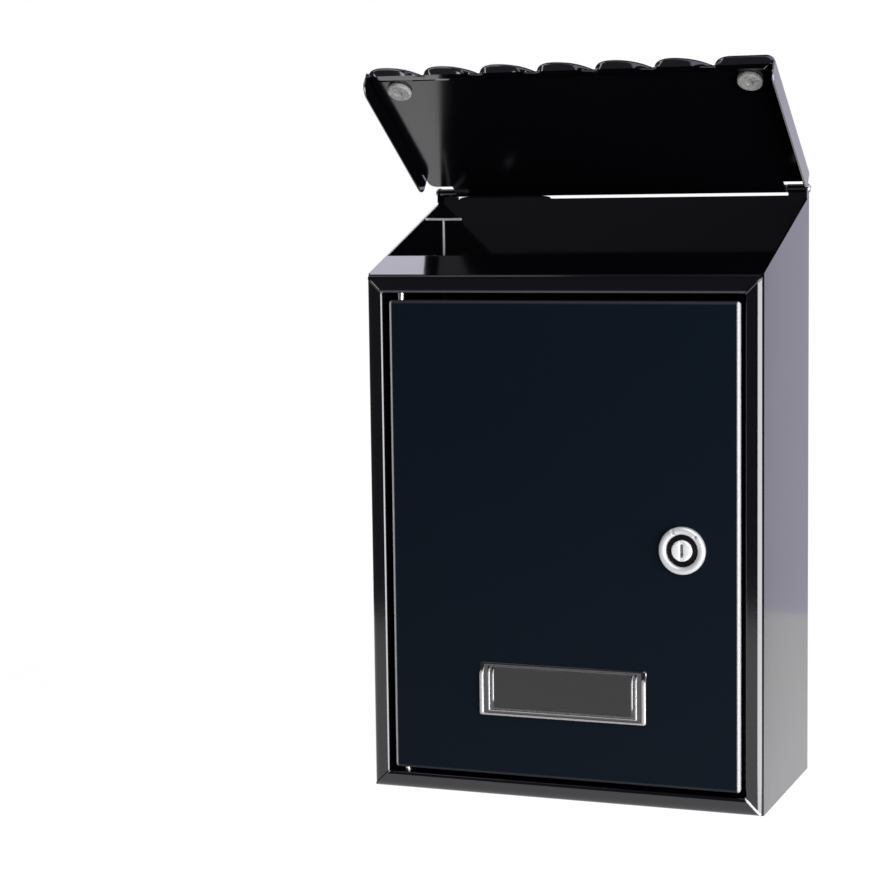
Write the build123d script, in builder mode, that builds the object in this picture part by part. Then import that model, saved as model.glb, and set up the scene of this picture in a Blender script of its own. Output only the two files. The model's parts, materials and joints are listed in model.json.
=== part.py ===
from build123d import *
import os
from math import atan2, cos, degrees, radians, sin, sqrt, tan

# Wall mounted letter box of folded black sheet steel: a body with a slot under a roof tile lid,
# and a lockable front door with a name holder.
# Millimetres. X runs to the right, Y into the wall and Z up.
# The origin is the middle of the four wall screw holes, on the wall.

# Body
width = 210.0
depth = 102.0
front_height = 268.0
back_height = 308.0
sheet = 1.0
weld_bend = 2.0
weld_tab = 10.0
weld_flange = 26.0
weld_gap = 1.0
hinge_relief = 11.0

# Front frame around the door
frame_band = 8.7
frame_fold = 3.5
frame_inner_fold = 1.6
frame_return = 16.0
mitre_gap = 1.0
stop_lip = 5.5

# Lip in front of the letter slot, measured along the slope
lip_depth = 30.0
lip_hem = 6.0
lip_fold = 1.6

# Wall screws
wall_hole_r = 2.75
wall_hole_inset = 20.0
wall_hole_drop = 60.0
wall_hole_rise = 78.0

# Fits
running_fit = 0.05
snug_fit = 0.02

# Lid hinge
rod_r = 1.25
rod_head_r = 2.2
rod_head = 1.2
rod_head_bevel = 0.6
knuckle = 10.0
knuckle_gap = 0.5
ear_r = 2.7
hinge_slit = 1.5

# Lid
lid_rest = 34.5
lid_sheet = 0.8
lid_overhang = 3.2
lid_mouth_gap = 1.2
plate_inset = 1.6
plate_notch = 9.0
plate_front = 104.5
plate_corner = 4.0
roof_back = 13.5
roof_front = 107.0
roof_nose = 2.0
roof_hem = 3.0
tile_count = 7
tile_rise = 4.7
tile_corner_share = 0.55
tile_foot_share = 0.3
shoulder_r = 13.5
end_round = 5.5
skirt_drop = 9.3
skirt_back_corner = 5.0
skirt_front_corner = 7.0

# Lid bumpers
bumper_r = 6.35
bumper = 2.4
bumper_inset_x = 13.1
bumper_inset_front = 10.2
bumper_shut_gap = 0.15
stem_r = 2.0
stem_head_r = 2.9
stem_head = 1.4

# Door
door_gap_side = 2.9
door_gap_top = 3.6
door_gap_bottom = 2.0
door_recess = 1.5
door_stop_gap = 0.5
door_corner = 2.0
door_edge = 1.8
pivot_r = 1.75
pivot_inset = 5.4
pivot_set_back = 4.5
pivot_head_r = 2.6
pivot_head = 1.5
pivot_reach = 3.0

# Name holder on the door
holder_width = 90.0
holder_height = 27.5
holder_centre_height = 56.0
holder_depth = 2.2
holder_edge = 0.6
window_width = 77.0
window_height = 20.7
window_rise = 0.65
pocket_lap = 1.5
card_thickness = 0.3
window_thickness = 0.9
slide_gap = 0.2
peg_r = 1.25
peg_head_r = 2.2
peg_head = 0.8

# Lock
lock_inset = 29.4
lock_height = 132.0
bezel_r = 12.0
bezel = 3.0
bezel_bevel = 1.8
pocket_r = 7.8
pocket_depth = 2.2
barrel_r = 9.0
barrel_flats = 16.0
nut_across = 24.0
nut = 3.0
plug_r = 4.6
plug_head_r = 5.3
plug_sink = 0.5
plug_bevel = 0.5
plug_clear = 0.1
plug_shoulder = 0.6
keyway_width = 1.6
keyway_height = 7.0
keyway_depth = 9.0
tail_side = 6.0
cam_gap = 0.4
cam = 1.5
cam_hub_r = 7.0
cam_tip_r = 5.0
cam_length = 28.0
screw_r = 1.5
screw_depth = 7.0
screw_head_r = 3.4
screw_head = 2.4
screw_bevel = 0.8
screw_slot = 0.9
washer_r = 4.8
washer = 0.8

# Places worked out from the sizes
front_y = -depth
base_z = -(back_height - wall_hole_drop + wall_hole_rise) / 2
front_top_z = base_z + front_height
back_top_z = base_z + back_height
slope = atan2(back_height - front_height, depth)
inner_x = width / 2 - sheet
web_front_y = front_y + frame_fold
wall_hole_x = width / 2 - wall_hole_inset
wall_hole_span = back_height - wall_hole_drop - wall_hole_rise

knuckle_r = rod_r + snug_fit + sheet
barrel_in = rod_r + running_fit
barrel_out = barrel_in + lid_sheet
hinge_y = -knuckle_r
hinge_z = back_top_z + hinge_y * tan(slope) + (bumper + bumper_shut_gap + barrel_out) / cos(slope)
hinge = (0, hinge_y, hinge_z)

lid_along = (0, -cos(radians(lid_rest)), sin(radians(lid_rest)))
lid_up = (0, sin(radians(lid_rest)), cos(radians(lid_rest)))
lid_flat = Plane(hinge, x_dir=(1, 0, 0), z_dir=lid_up)
lid_cross = Plane(hinge, x_dir=(1, 0, 0), z_dir=lid_along)
lid_side = Plane(hinge, x_dir=lid_along, z_dir=(-1, 0, 0))

door_left_x = -width / 2 + frame_band + door_gap_side
door_right_x = -door_left_x
door_bottom_z = base_z + frame_band + door_gap_bottom
door_top_z = front_top_z - frame_band - door_gap_top
door_mid_z = (door_bottom_z + door_top_z) / 2
door_front_y = front_y + door_recess
door_inner_y = door_front_y + sheet
door_depth = frame_return - door_recess - door_stop_gap
pivot_x = door_left_x + pivot_inset
pivot_y = door_front_y + pivot_set_back

holder_z = base_z + holder_centre_height
window_z = holder_z + window_rise
pocket_width = window_width + 2 * pocket_lap
pocket_height = window_height + 2 * pocket_lap
pocket_thickness = card_thickness + window_thickness
peg_x = (holder_width + pocket_width) / 4

lock_x = door_right_x - lock_inset
lock_z = base_z + lock_height
lock_axis = Axis((lock_x, 0, lock_z), (0, 1, 0))
bezel_y = door_front_y - bezel
pocket_y = bezel_y + pocket_depth
plug_y = bezel_y + plug_sink
cam_y = front_y + frame_return + sheet + cam_gap
barrel_end_y = cam_y - plug_shoulder
washer_y = cam_y + cam
screw_y = washer_y + washer


def wall_plane(y):
    """Upright plane across the box at depth y, drawn in X and Z, that faces the front."""
    return Plane.XZ.offset(-y)


def mitre(side, z, up):
    """Corner plane of the front frame at 45 degrees; it faces the middle along X and up or down."""
    return Plane((side * width / 2, 0, z), x_dir=(0, 1, 0), z_dir=(-side, 0, up))


# Side panels: a web with a sloping top and a hinge ear, and a front edge folded into the frame.
# The right one has a lip behind the door, which the door shuts on and the lock cam hooks.
def side_panel(right):
    """Return one side panel, drawn at the left and mirrored for the right."""
    edge_x = -width / 2
    band_x = edge_x + frame_band
    path = [(edge_x, web_front_y + sheet), (edge_x, front_y), (band_x, front_y)]
    path.append((band_x, front_y + frame_return))
    folds = [frame_fold, frame_inner_fold]
    if right:
        path.append((band_x + stop_lip, front_y + frame_return))
        folds.append(frame_inner_fold)
    web_front_z = front_top_z + frame_fold * tan(slope)
    with BuildPart() as panel:
        with BuildSketch(Plane.XY.offset(base_z)):
            with BuildLine():
                FilletPolyline(*path, radius=folds)
                offset(amount=sheet, side=Side.LEFT)
            make_face()
        extrude(amount=front_height)
        split(bisect_by=-mitre(-1, base_z, -1).offset(-mitre_gap / 2))
        split(bisect_by=-mitre(-1, front_top_z, 1))
        with BuildSketch(Plane.YZ.offset(edge_x)):
            with BuildLine():
                Polyline(
                    (0, base_z), (0, back_top_z), (web_front_y, web_front_z), (web_front_y, base_z),
                    close=True,
                )
            make_face()
            with Locations((hinge_y, hinge_z)):
                Circle(ear_r)
            with Locations((hinge_y, hinge_z - ear_r)):
                Rectangle(2 * ear_r, 2 * ear_r)
            with Locations((ear_r, hinge_z)):
                Rectangle(2 * ear_r, 6 * ear_r, mode=Mode.SUBTRACT)
            with Locations((hinge_y, hinge_z)):
                Circle(rod_r + snug_fit, mode=Mode.SUBTRACT)
        extrude(amount=sheet)
        if right:
            mirror(about=Plane.YZ, mode=Mode.REPLACE)
    return panel


left_side_panel = side_panel(right=False)
right_side_panel = side_panel(right=True)

# Bottom: front edge folded into the frame, with tabs turned up inside the sides and the back.
with BuildPart() as bottom_panel:
    with BuildSketch(Plane.YZ):
        with BuildLine():
            FilletPolyline(
                (-sheet, base_z + weld_tab), (-sheet, base_z), (front_y, base_z),
                (front_y, base_z + frame_band), (front_y + frame_return, base_z + frame_band),
                radius=[weld_bend, frame_fold, frame_inner_fold],
            )
            offset(amount=sheet, side=Side.RIGHT)
        make_face()
    extrude(amount=inner_x, both=True)
    for side in (-1, 1):
        split(bisect_by=mitre(side, base_z, -1).offset(mitre_gap / 2))
    tab_length = depth - frame_return - 2 * sheet - weld_bend - weld_gap
    with BuildSketch(Plane.XY.offset(base_z)):
        with Locations((0, -sheet - weld_bend - tab_length / 2)):
            with GridLocations(2 * inner_x - sheet, 1, 2, 1):
                Rectangle(sheet, tab_length)
    extrude(amount=weld_tab)
    with Locations((pivot_x, pivot_y, base_z + frame_band)):
        Cylinder(pivot_r + running_fit, 4 * sheet, mode=Mode.SUBTRACT)

# Back: flanges welded to the sides, end knuckles rolled round the hinge rod, and wall holes.
with BuildPart() as back_panel:
    with BuildSketch(Plane.XY.offset(base_z + weld_tab + weld_gap)):
        with BuildLine():
            FilletPolyline(
                (-inner_x, -weld_flange), (-inner_x, 0), (inner_x, 0), (inner_x, -weld_flange),
                radius=weld_bend,
            )
            offset(amount=sheet, side=Side.RIGHT)
        make_face()
    extrude(amount=back_height - weld_tab - weld_gap - hinge_relief)
    web_top_z = hinge_z - barrel_out - hinge_slit
    with BuildSketch(wall_plane(0)):
        with Locations((0, (base_z + web_top_z) / 2)):
            Rectangle(2 * inner_x, web_top_z - base_z)
    extrude(amount=sheet)
    for end_x in (-inner_x, inner_x - knuckle):
        with BuildSketch(Plane.YZ.offset(end_x)):
            with Locations((hinge_y, hinge_z)):
                Circle(knuckle_r)
            with Locations((-sheet / 2, (web_top_z + hinge_z) / 2)):
                Rectangle(sheet, hinge_z - web_top_z)
            with Locations((hinge_y, hinge_z)):
                Circle(rod_r + snug_fit, mode=Mode.SUBTRACT)
        extrude(amount=knuckle)
    with BuildSketch(wall_plane(0)):
        with GridLocations(2 * wall_hole_x, wall_hole_span, 2, 2):
            Circle(wall_hole_r)
    extrude(amount=sheet, mode=Mode.SUBTRACT)

# Top rail of the frame: band above the door and the sloping lip in front of the letter slot.
with BuildPart() as front_top_rail:
    lip_y = front_y + lip_depth * cos(slope)
    lip_z = front_top_z + lip_depth * sin(slope)
    with BuildSketch(Plane.YZ):
        with BuildLine():
            FilletPolyline(
                (lip_y, lip_z - lip_hem), (lip_y, lip_z), (front_y, front_top_z),
                (front_y, front_top_z - frame_band), (front_y + frame_return, front_top_z - frame_band),
                radius=[lip_fold, frame_fold, frame_inner_fold],
            )
            offset(amount=sheet, side=Side.LEFT)
        make_face()
    extrude(amount=inner_x, both=True)
    for side in (-1, 1):
        split(bisect_by=mitre(side, front_top_z, 1))
    with Locations((pivot_x, pivot_y, front_top_z - frame_band)):
        Cylinder(pivot_r + running_fit, 4 * sheet, mode=Mode.SUBTRACT)

# Lid hinge rod with a peened head outside each side panel.
with BuildPart() as lid_hinge_rod:
    with BuildSketch(Plane.YZ):
        with Locations((hinge_y, hinge_z)):
            Circle(rod_r)
    extrude(amount=width / 2, both=True)
    for head_x in (-width / 2 - rod_head, width / 2):
        with BuildSketch(Plane.YZ.offset(head_x)):
            with Locations((hinge_y, hinge_z)):
                Circle(rod_head_r)
        extrude(amount=rod_head)
    end_rims = edges().filter_by(GeomType.CIRCLE).group_by(Axis.X)
    chamfer(end_rims[0] + end_rims[-1], length=rod_head_bevel)

# Lid underside: a flat plate whose middle tongue is rolled up into a barrel on the rod.
lid_half = width / 2 + lid_overhang
plate_half = lid_half - plate_inset
tongue = 2 * (inner_x - knuckle - knuckle_gap)
bumper_x = plate_half - bumper_inset_x
bumper_u = plate_front - bumper_inset_front
with BuildPart() as lid_inner_plate:
    with BuildSketch(lid_flat.offset(-barrel_out)):
        with Locations((0, -(plate_notch + plate_front) / 2)):
            RectangleRounded(2 * plate_half, plate_front - plate_notch, plate_corner)
        with Locations((0, -(plate_notch + plate_corner) / 2)):
            Rectangle(tongue, plate_notch + plate_corner)
        with Locations((-bumper_x, -bumper_u), (bumper_x, -bumper_u)):
            Circle(stem_r + snug_fit, mode=Mode.SUBTRACT)
    extrude(amount=lid_sheet)
    with BuildSketch(lid_side):
        Circle(barrel_out)
        Circle(barrel_in, mode=Mode.SUBTRACT)
    extrude(amount=tongue / 2, both=True)

# Roof tile pressing. Each tile rises in a step with a rounded corner, runs flat, and falls over a
# broad shoulder to the foot of the next step; the last one rolls over into the right skirt. The
# shoulder's run follows from its arc and the foot's arc, which meet on the line of their centres.
tile_pitch = 2 * lid_half / tile_count
corner_r = tile_corner_share * tile_rise
foot_r = tile_foot_share * tile_rise
shoulder_run = sqrt(tile_rise * (2 * (shoulder_r + foot_r) - tile_rise))
shoulder_angle = degrees(atan2(shoulder_run, shoulder_r + foot_r - tile_rise))
valley_w = lid_sheet - barrel_in
peak_w = valley_w + tile_rise
skirt_w = -barrel_out - skirt_drop
hem_w = -barrel_out - lid_sheet


def tile_loop(inward, foot_w):
    """Draw the tile line, a distance inward from the outer face, and close it round at foot_w."""
    top_w = peak_w - inward
    corner_w = peak_w - corner_r
    half = lid_half - inward
    for tile in range(tile_count):
        step_x = tile * tile_pitch - lid_half
        corner_x = step_x + corner_r
        CenterArc((corner_x, corner_w), corner_r - inward, 180, -90)
        if tile < tile_count - 1:
            next_x = step_x + tile_pitch
            foot_x = next_x - foot_r
            shoulder_x = foot_x - shoulder_run
            Line((corner_x, top_w), (shoulder_x, top_w))
            CenterArc((shoulder_x, peak_w - shoulder_r), shoulder_r - inward, 90, -shoulder_angle)
            foot_turn = 90 + shoulder_angle
            CenterArc((foot_x, valley_w + foot_r), foot_r + inward, 360 - foot_turn, foot_turn)
            Line((next_x + inward, valley_w + foot_r), (next_x + inward, corner_w))
        else:
            end_x = lid_half - end_round
            Line((corner_x, top_w), (end_x, top_w))
            CenterArc((end_x, peak_w - end_round), end_round - inward, 90, -90)
    Polyline((half, peak_w - end_round), (half, foot_w), (-half, foot_w), (-half, corner_w))


def tile_block(back, front, nose, inward, foot_w):
    """Return the solid under the tile line from back to front, with its front edge eased by nose."""
    with BuildPart() as block:
        with BuildSketch(lid_cross.offset(back)):
            with BuildLine():
                tile_loop(inward, foot_w)
            make_face()
        extrude(amount=front - nose - back)
        for set_back in (nose, 0):
            with BuildSketch(lid_cross.offset(front - set_back)):
                with BuildLine():
                    tile_loop(inward + nose - set_back, foot_w)
                make_face()
        loft(ruled=True)
    return block


roof_outside = tile_block(roof_back, roof_front, roof_nose, 0, skirt_w)
roof_inside = tile_block(
    roof_back - lid_sheet, roof_front - lid_sheet, roof_nose - lid_sheet, lid_sheet, skirt_w - lid_sheet
)

# The front wall ends in a hem folded back under the plate, between the open ends of the skirts.
with BuildPart() as lid_tile_roof:
    add(roof_outside.part)
    add(roof_inside.part, mode=Mode.SUBTRACT)
    mouth_half = width / 2 + lid_mouth_gap
    with BuildSketch(lid_cross.offset(roof_front - 2 * roof_nose)):
        with Locations((0, (hem_w + skirt_w - lid_sheet) / 2)):
            Rectangle(2 * mouth_half, hem_w - skirt_w + lid_sheet)
    extrude(amount=3 * roof_nose, mode=Mode.SUBTRACT)
    with BuildSketch(lid_side):
        with Locations(((plate_front - roof_hem + roof_front - lid_sheet) / 2, hem_w + lid_sheet / 2)):
            Rectangle(roof_front - lid_sheet - plate_front + roof_hem, lid_sheet)
    extrude(amount=mouth_half - lid_sheet, both=True)
    above_w = peak_w + tile_rise
    with BuildSketch(lid_side):
        with BuildLine():
            FilletPolyline(
                (roof_back, above_w), (roof_back, skirt_w), (roof_front, skirt_w), (roof_front, above_w),
                radius=[skirt_back_corner, skirt_front_corner],
            )
            Line((roof_front, above_w), (roof_back, above_w))
        make_face()
    extrude(amount=width, both=True, mode=Mode.INTERSECT)


# Rubber bumpers under the front corners of the lid, pushed through the plate.
def lid_bumper(x):
    """Return the bumper at x, with its face down and its stem head on the plate."""
    with BuildPart() as pad:
        with BuildSketch(lid_flat.offset(-barrel_out)):
            with Locations((x, -bumper_u)):
                Circle(bumper_r)
        extrude(amount=-bumper)
        with BuildSketch(lid_flat.offset(-barrel_out)):
            with Locations((x, -bumper_u)):
                Circle(stem_r)
        extrude(amount=lid_sheet)
        with BuildSketch(lid_flat.offset(-barrel_in)):
            with Locations((x, -bumper_u)):
                Circle(stem_head_r)
        extrude(amount=stem_head)
    return pad


lid_bumper_left = lid_bumper(-bumper_x)
lid_bumper_right = lid_bumper(bumper_x)

# Door: a pressed pan with rounded edges.
with BuildPart() as door_panel:
    with BuildSketch(wall_plane(door_front_y)):
        with Locations((0, door_mid_z)):
            RectangleRounded(door_right_x - door_left_x, door_top_z - door_bottom_z, door_corner)
    extrude(amount=-door_depth)
    fillet(faces().sort_by(Axis.Y)[0].edges(), radius=door_edge)
    offset(amount=-sheet, openings=faces().sort_by(Axis.Y)[-1])
    with BuildSketch(wall_plane(door_front_y)):
        with Locations((lock_x, lock_z)):
            Circle(barrel_r + snug_fit)
            Rectangle(4 * barrel_r, barrel_flats + 2 * snug_fit, mode=Mode.INTERSECT)
        with Locations((0, holder_z)):
            with GridLocations(2 * peg_x, 1, 2, 1):
                Circle(peg_r + snug_fit)
    extrude(amount=-sheet, mode=Mode.SUBTRACT)
    for edge_z in (door_bottom_z, door_top_z):
        with Locations((pivot_x, pivot_y, edge_z)):
            Cylinder(pivot_r + snug_fit, 3 * sheet, mode=Mode.SUBTRACT)


# Door pivots: a headed pin through the door's edge into the frame, above and below.
def door_pin(edge_z, frame_z, up):
    """Return the pin from inside the door's edge to past the frame's return."""
    head_z = edge_z - up * sheet
    tip_z = frame_z + up * pivot_reach
    with BuildPart() as pin:
        with BuildSketch(Plane.XY.offset(head_z)):
            with Locations((pivot_x, pivot_y)):
                Circle(pivot_r)
        extrude(amount=tip_z - head_z)
        with BuildSketch(Plane.XY.offset(head_z)):
            with Locations((pivot_x, pivot_y)):
                Circle(pivot_head_r)
        extrude(amount=-up * pivot_head)
    return pin


door_pin_upper = door_pin(door_top_z, front_top_z - frame_band, 1)
door_pin_lower = door_pin(door_bottom_z, base_z + frame_band, -1)

# Name holder: a bevelled frame staked to the door, over a clear window and a blank card.
with BuildPart() as name_holder:
    with BuildSketch(wall_plane(door_front_y)):
        with Locations((0, holder_z)):
            Rectangle(holder_width, holder_height)
        with Locations((0, window_z)):
            Rectangle(window_width, window_height, mode=Mode.SUBTRACT)
    extrude(amount=holder_depth)
    chamfer(faces().sort_by(Axis.Y)[0].edges(), length=holder_edge)
    with BuildSketch(wall_plane(door_front_y)):
        with Locations((0, window_z)):
            Rectangle(pocket_width, pocket_height)
    extrude(amount=pocket_thickness, mode=Mode.SUBTRACT)
    with BuildSketch(wall_plane(door_front_y)):
        with Locations((0, holder_z)):
            with GridLocations(2 * peg_x, 1, 2, 1):
                Circle(peg_r)
    extrude(amount=-sheet)
    with BuildSketch(wall_plane(door_inner_y)):
        with Locations((0, holder_z)):
            with GridLocations(2 * peg_x, 1, 2, 1):
                Circle(peg_head_r)
    extrude(amount=-peg_head)

with BuildPart() as name_window:
    with BuildSketch(wall_plane(door_front_y - card_thickness)):
        with Locations((0, window_z)):
            Rectangle(pocket_width - slide_gap, pocket_height - slide_gap)
    extrude(amount=window_thickness)

with BuildPart() as name_card:
    with BuildSketch(wall_plane(door_front_y)):
        with Locations((0, window_z)):
            Rectangle(pocket_width - slide_gap, pocket_height - slide_gap)
    extrude(amount=card_thickness)

# Lock housing: a rounded bezel in front of the door and a flat-sided barrel behind it.
with BuildPart() as lock_housing:
    bore_r = plug_r + running_fit
    with BuildSketch(Plane((lock_x, 0, lock_z), x_dir=(0, 1, 0), z_dir=(1, 0, 0))):
        with BuildLine():
            Polyline(
                (bezel_y, pocket_r), (bezel_y, bezel_r), (door_front_y, bezel_r),
                (door_front_y, barrel_r), (barrel_end_y, barrel_r), (barrel_end_y, bore_r),
                (pocket_y, bore_r), (pocket_y, pocket_r), close=True,
            )
        make_face()
    revolve(axis=lock_axis)
    chamfer(faces().sort_by(Axis.Y)[0].edges(), length=bezel_bevel)
    with BuildSketch(wall_plane(door_front_y)):
        with Locations((lock_x, lock_z)):
            with GridLocations(1, barrel_flats + barrel_r, 1, 2):
                Rectangle(4 * barrel_r, barrel_r)
    extrude(amount=door_front_y - barrel_end_y, mode=Mode.SUBTRACT)

with BuildPart() as lock_nut:
    with BuildSketch(wall_plane(door_inner_y)):
        with Locations((lock_x, lock_z)):
            RegularPolygon(nut_across / 2, 6, major_radius=False)
            Circle(barrel_r + snug_fit, mode=Mode.SUBTRACT)
    extrude(amount=-nut)

# Lock plug: a round head in the bezel's pocket, with a keyway, and a square tail for the cam.
with BuildPart() as lock_plug:
    with BuildSketch(wall_plane(plug_y)):
        with Locations((lock_x, lock_z)):
            Circle(plug_head_r)
    extrude(amount=plug_y - pocket_y + plug_clear)
    chamfer(edges().sort_by(Axis.Y)[0], length=plug_bevel)
    with BuildSketch(wall_plane(plug_y + plug_sink)):
        with Locations((lock_x, lock_z)):
            Circle(plug_r)
    extrude(amount=plug_y + plug_sink - cam_y)
    with BuildSketch(wall_plane(cam_y)):
        with Locations((lock_x, lock_z)):
            Rectangle(tail_side, tail_side)
    extrude(amount=-cam)
    with BuildSketch(wall_plane(plug_y)):
        with Locations((lock_x, lock_z)):
            SlotOverall(keyway_height, keyway_width, rotation=90)
    extrude(amount=-keyway_depth, mode=Mode.SUBTRACT)
    with BuildSketch(wall_plane(washer_y)):
        with Locations((lock_x, lock_z)):
            Circle(screw_r)
    extrude(amount=screw_depth, mode=Mode.SUBTRACT)

# Lock cam, hanging while unlocked, with its washer and screw.
with BuildPart() as lock_cam:
    with BuildSketch(wall_plane(cam_y)):
        with Locations((lock_x, lock_z)):
            Circle(cam_hub_r)
        with Locations((lock_x, lock_z - cam_length)):
            Circle(cam_tip_r)
        make_hull()
        with Locations((lock_x, lock_z)):
            Rectangle(tail_side, tail_side, mode=Mode.SUBTRACT)
    extrude(amount=-cam)

with BuildPart() as cam_washer:
    with BuildSketch(wall_plane(washer_y)):
        with Locations((lock_x, lock_z)):
            Circle(washer_r)
            Circle(screw_r, mode=Mode.SUBTRACT)
    extrude(amount=-washer)

with BuildPart() as cam_screw:
    with BuildSketch(wall_plane(screw_y)):
        with Locations((lock_x, lock_z)):
            Circle(screw_head_r)
    extrude(amount=-screw_head)
    chamfer(edges().sort_by(Axis.Y)[-1], length=screw_bevel)
    with BuildSketch(wall_plane(screw_y + screw_head)):
        with Locations((lock_x, lock_z)):
            Rectangle(2 * screw_head_r, screw_slot)
            Rectangle(screw_slot, 2 * screw_head_r)
    extrude(amount=screw_head / 2, mode=Mode.SUBTRACT)
    with BuildSketch(wall_plane(screw_y)):
        with Locations((lock_x, lock_z)):
            Circle(screw_r)
    extrude(amount=screw_depth - cam)

pieces = {
    "left_side_panel": left_side_panel,
    "right_side_panel": right_side_panel,
    "bottom_panel": bottom_panel,
    "back_panel": back_panel,
    "front_top_rail": front_top_rail,
    "lid_hinge_rod": lid_hinge_rod,
    "lid_inner_plate": lid_inner_plate,
    "lid_tile_roof": lid_tile_roof,
    "lid_bumper_left": lid_bumper_left,
    "lid_bumper_right": lid_bumper_right,
    "door_panel": door_panel,
    "door_pin_upper": door_pin_upper,
    "door_pin_lower": door_pin_lower,
    "name_holder": name_holder,
    "name_window": name_window,
    "name_card": name_card,
    "lock_housing": lock_housing,
    "lock_nut": lock_nut,
    "lock_plug": lock_plug,
    "lock_cam": lock_cam,
    "cam_washer": cam_washer,
    "cam_screw": cam_screw,
}

os.makedirs("parts", exist_ok=True)
for name, piece in pieces.items():
    piece.part.label = name
    export_step(piece.part, f"parts/{name}.step")
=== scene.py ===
import json
from math import cos, pi, radians, sin

import bmesh
import bpy
import numpy as np
from mathutils import Matrix, Vector


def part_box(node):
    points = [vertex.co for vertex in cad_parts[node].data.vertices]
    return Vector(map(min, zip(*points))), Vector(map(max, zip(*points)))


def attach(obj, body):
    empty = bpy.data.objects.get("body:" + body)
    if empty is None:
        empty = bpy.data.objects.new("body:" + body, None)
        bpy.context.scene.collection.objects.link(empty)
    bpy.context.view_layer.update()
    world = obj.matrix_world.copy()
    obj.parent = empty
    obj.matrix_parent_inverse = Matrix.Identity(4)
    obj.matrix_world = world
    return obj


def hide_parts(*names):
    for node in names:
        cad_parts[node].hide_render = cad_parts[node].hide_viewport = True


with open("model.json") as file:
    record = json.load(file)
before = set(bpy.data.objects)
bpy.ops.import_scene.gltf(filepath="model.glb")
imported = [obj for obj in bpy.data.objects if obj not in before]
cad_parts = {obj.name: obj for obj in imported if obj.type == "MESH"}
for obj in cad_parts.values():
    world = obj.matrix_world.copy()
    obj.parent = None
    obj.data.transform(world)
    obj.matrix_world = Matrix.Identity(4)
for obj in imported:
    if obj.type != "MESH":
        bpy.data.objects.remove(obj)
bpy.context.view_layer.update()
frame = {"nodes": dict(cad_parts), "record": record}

bl_info = {
    "name": "Wall mailbox",
    "version": (1, 0, 0),
    "blender": (4, 5, 0),
    "location": "3D View > Sidebar > Mailbox",
    "description": "Finishes a wall mounted letter box of painted sheet steel and sets it in a studio",
    "category": "Object",
}

PHOTO_SIDE = 870  # width and height of the photograph, in pixels
CREASE = radians(40)  # edges that bend more than this are shaded sharp
SHEET = 0.001  # thickness of the body's and the door's sheet
FRAME_TOP = 0.105  # height of the front frame's upper edge

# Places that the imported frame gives. LOW and HIGH are the two corners of a piece's box.
BOX_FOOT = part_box("bottom_panel")[0][2]
LEFT_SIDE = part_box("left_side_panel")[0][0]
RIGHT_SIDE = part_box("right_side_panel")[1][0]
FRAME_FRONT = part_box("right_side_panel")[0][1]
DOOR_LOW, DOOR_HIGH = np.array(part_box("door_panel"))
DOOR_FRONT = DOOR_LOW[1]
DOOR_BACK = DOOR_FRONT + SHEET
LOCK_LOW, LOCK_HIGH = np.array(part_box("lock_housing"))
PLUG_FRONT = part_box("lock_plug")[0][1]
HOLDER_LOW, HOLDER_HIGH = np.array(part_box("name_holder"))
HINGE = next(j for j in frame["record"]["behaviour"]["joints"] if j["name"] == "lid_hinge")


# Settings


class MailboxPaint(bpy.types.PropertyGroup):
    """Colours of the paint and the small fittings."""

    body: bpy.props.FloatVectorProperty(
        name="Body paint", description="Gloss black of the body and the lid",
        subtype="COLOR", size=3, min=0, max=1, default=(0.0016, 0.0015, 0.0023),
    )
    door: bpy.props.FloatVectorProperty(
        name="Door paint", description="Blue black of the door",
        subtype="COLOR", size=3, min=0, max=1, default=(0.0031, 0.0059, 0.0105),
    )
    # Pale line on the door's rim: worn paint, and also a painted highlight along the rim.
    primer_and_highlight: bpy.props.FloatVectorProperty(
        name="Primer", description="Pale grey that shows where an edge is rubbed",
        subtype="COLOR", size=3, min=0, max=1, default=(0.62, 0.62, 0.63),
    )
    # Pale colour low on the outer sides: settled dust, and also a painted sheen that brightens the reflection
    # there.
    dust_and_sheen: bpy.props.FloatVectorProperty(
        name="Dust", description="Pale dust that settles low on the panels",
        subtype="COLOR", size=3, min=0, max=1, default=(0.34, 0.33, 0.34),
    )
    chrome: bpy.props.FloatVectorProperty(
        name="Chrome", description="Plating of the lock's plug",
        subtype="COLOR", size=3, min=0, max=1, default=(0.86, 0.87, 0.88),
    )
    ring: bpy.props.FloatVectorProperty(
        name="Ring", description="Frosted plating of the lock's ring",
        subtype="COLOR", size=3, min=0, max=1, default=(0.6, 0.605, 0.615),
    )
    steel: bpy.props.FloatVectorProperty(
        name="Bright steel", description="Pins, rod and screw",
        subtype="COLOR", size=3, min=0, max=1, default=(0.66, 0.66, 0.65),
    )
    rubber: bpy.props.FloatVectorProperty(
        name="Bumper rubber", description="Grey of the lid bumpers",
        subtype="COLOR", size=3, min=0, max=1, default=(0.19, 0.19, 0.185),
    )
    plastic: bpy.props.FloatVectorProperty(
        name="Holder plastic", description="Black of the name holder",
        subtype="COLOR", size=3, min=0, max=1, default=(0.01, 0.01, 0.012),
    )
    # Pale grey on the name holder's bead crests: a painted highlight on black plastic.
    crest: bpy.props.FloatVectorProperty(
        name="Holder crests", description="Pale grey of the name holder's moulded beads",
        subtype="COLOR", size=3, min=0, max=1, default=(0.34, 0.34, 0.35),
    )
    # Pale colour of some seams: a painted highlight along their beads, not bare metal.
    seam: bpy.props.FloatVectorProperty(
        name="Pale seam", description="Bare metal of the seams that are left unpainted",
        subtype="COLOR", size=3, min=0, max=1, default=(0.7, 0.7, 0.71),
    )
    card: bpy.props.FloatVectorProperty(
        name="Name card", description="Slate grey of the blank card",
        subtype="COLOR", size=3, min=0, max=1, default=(0.105, 0.122, 0.142),
    )


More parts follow.
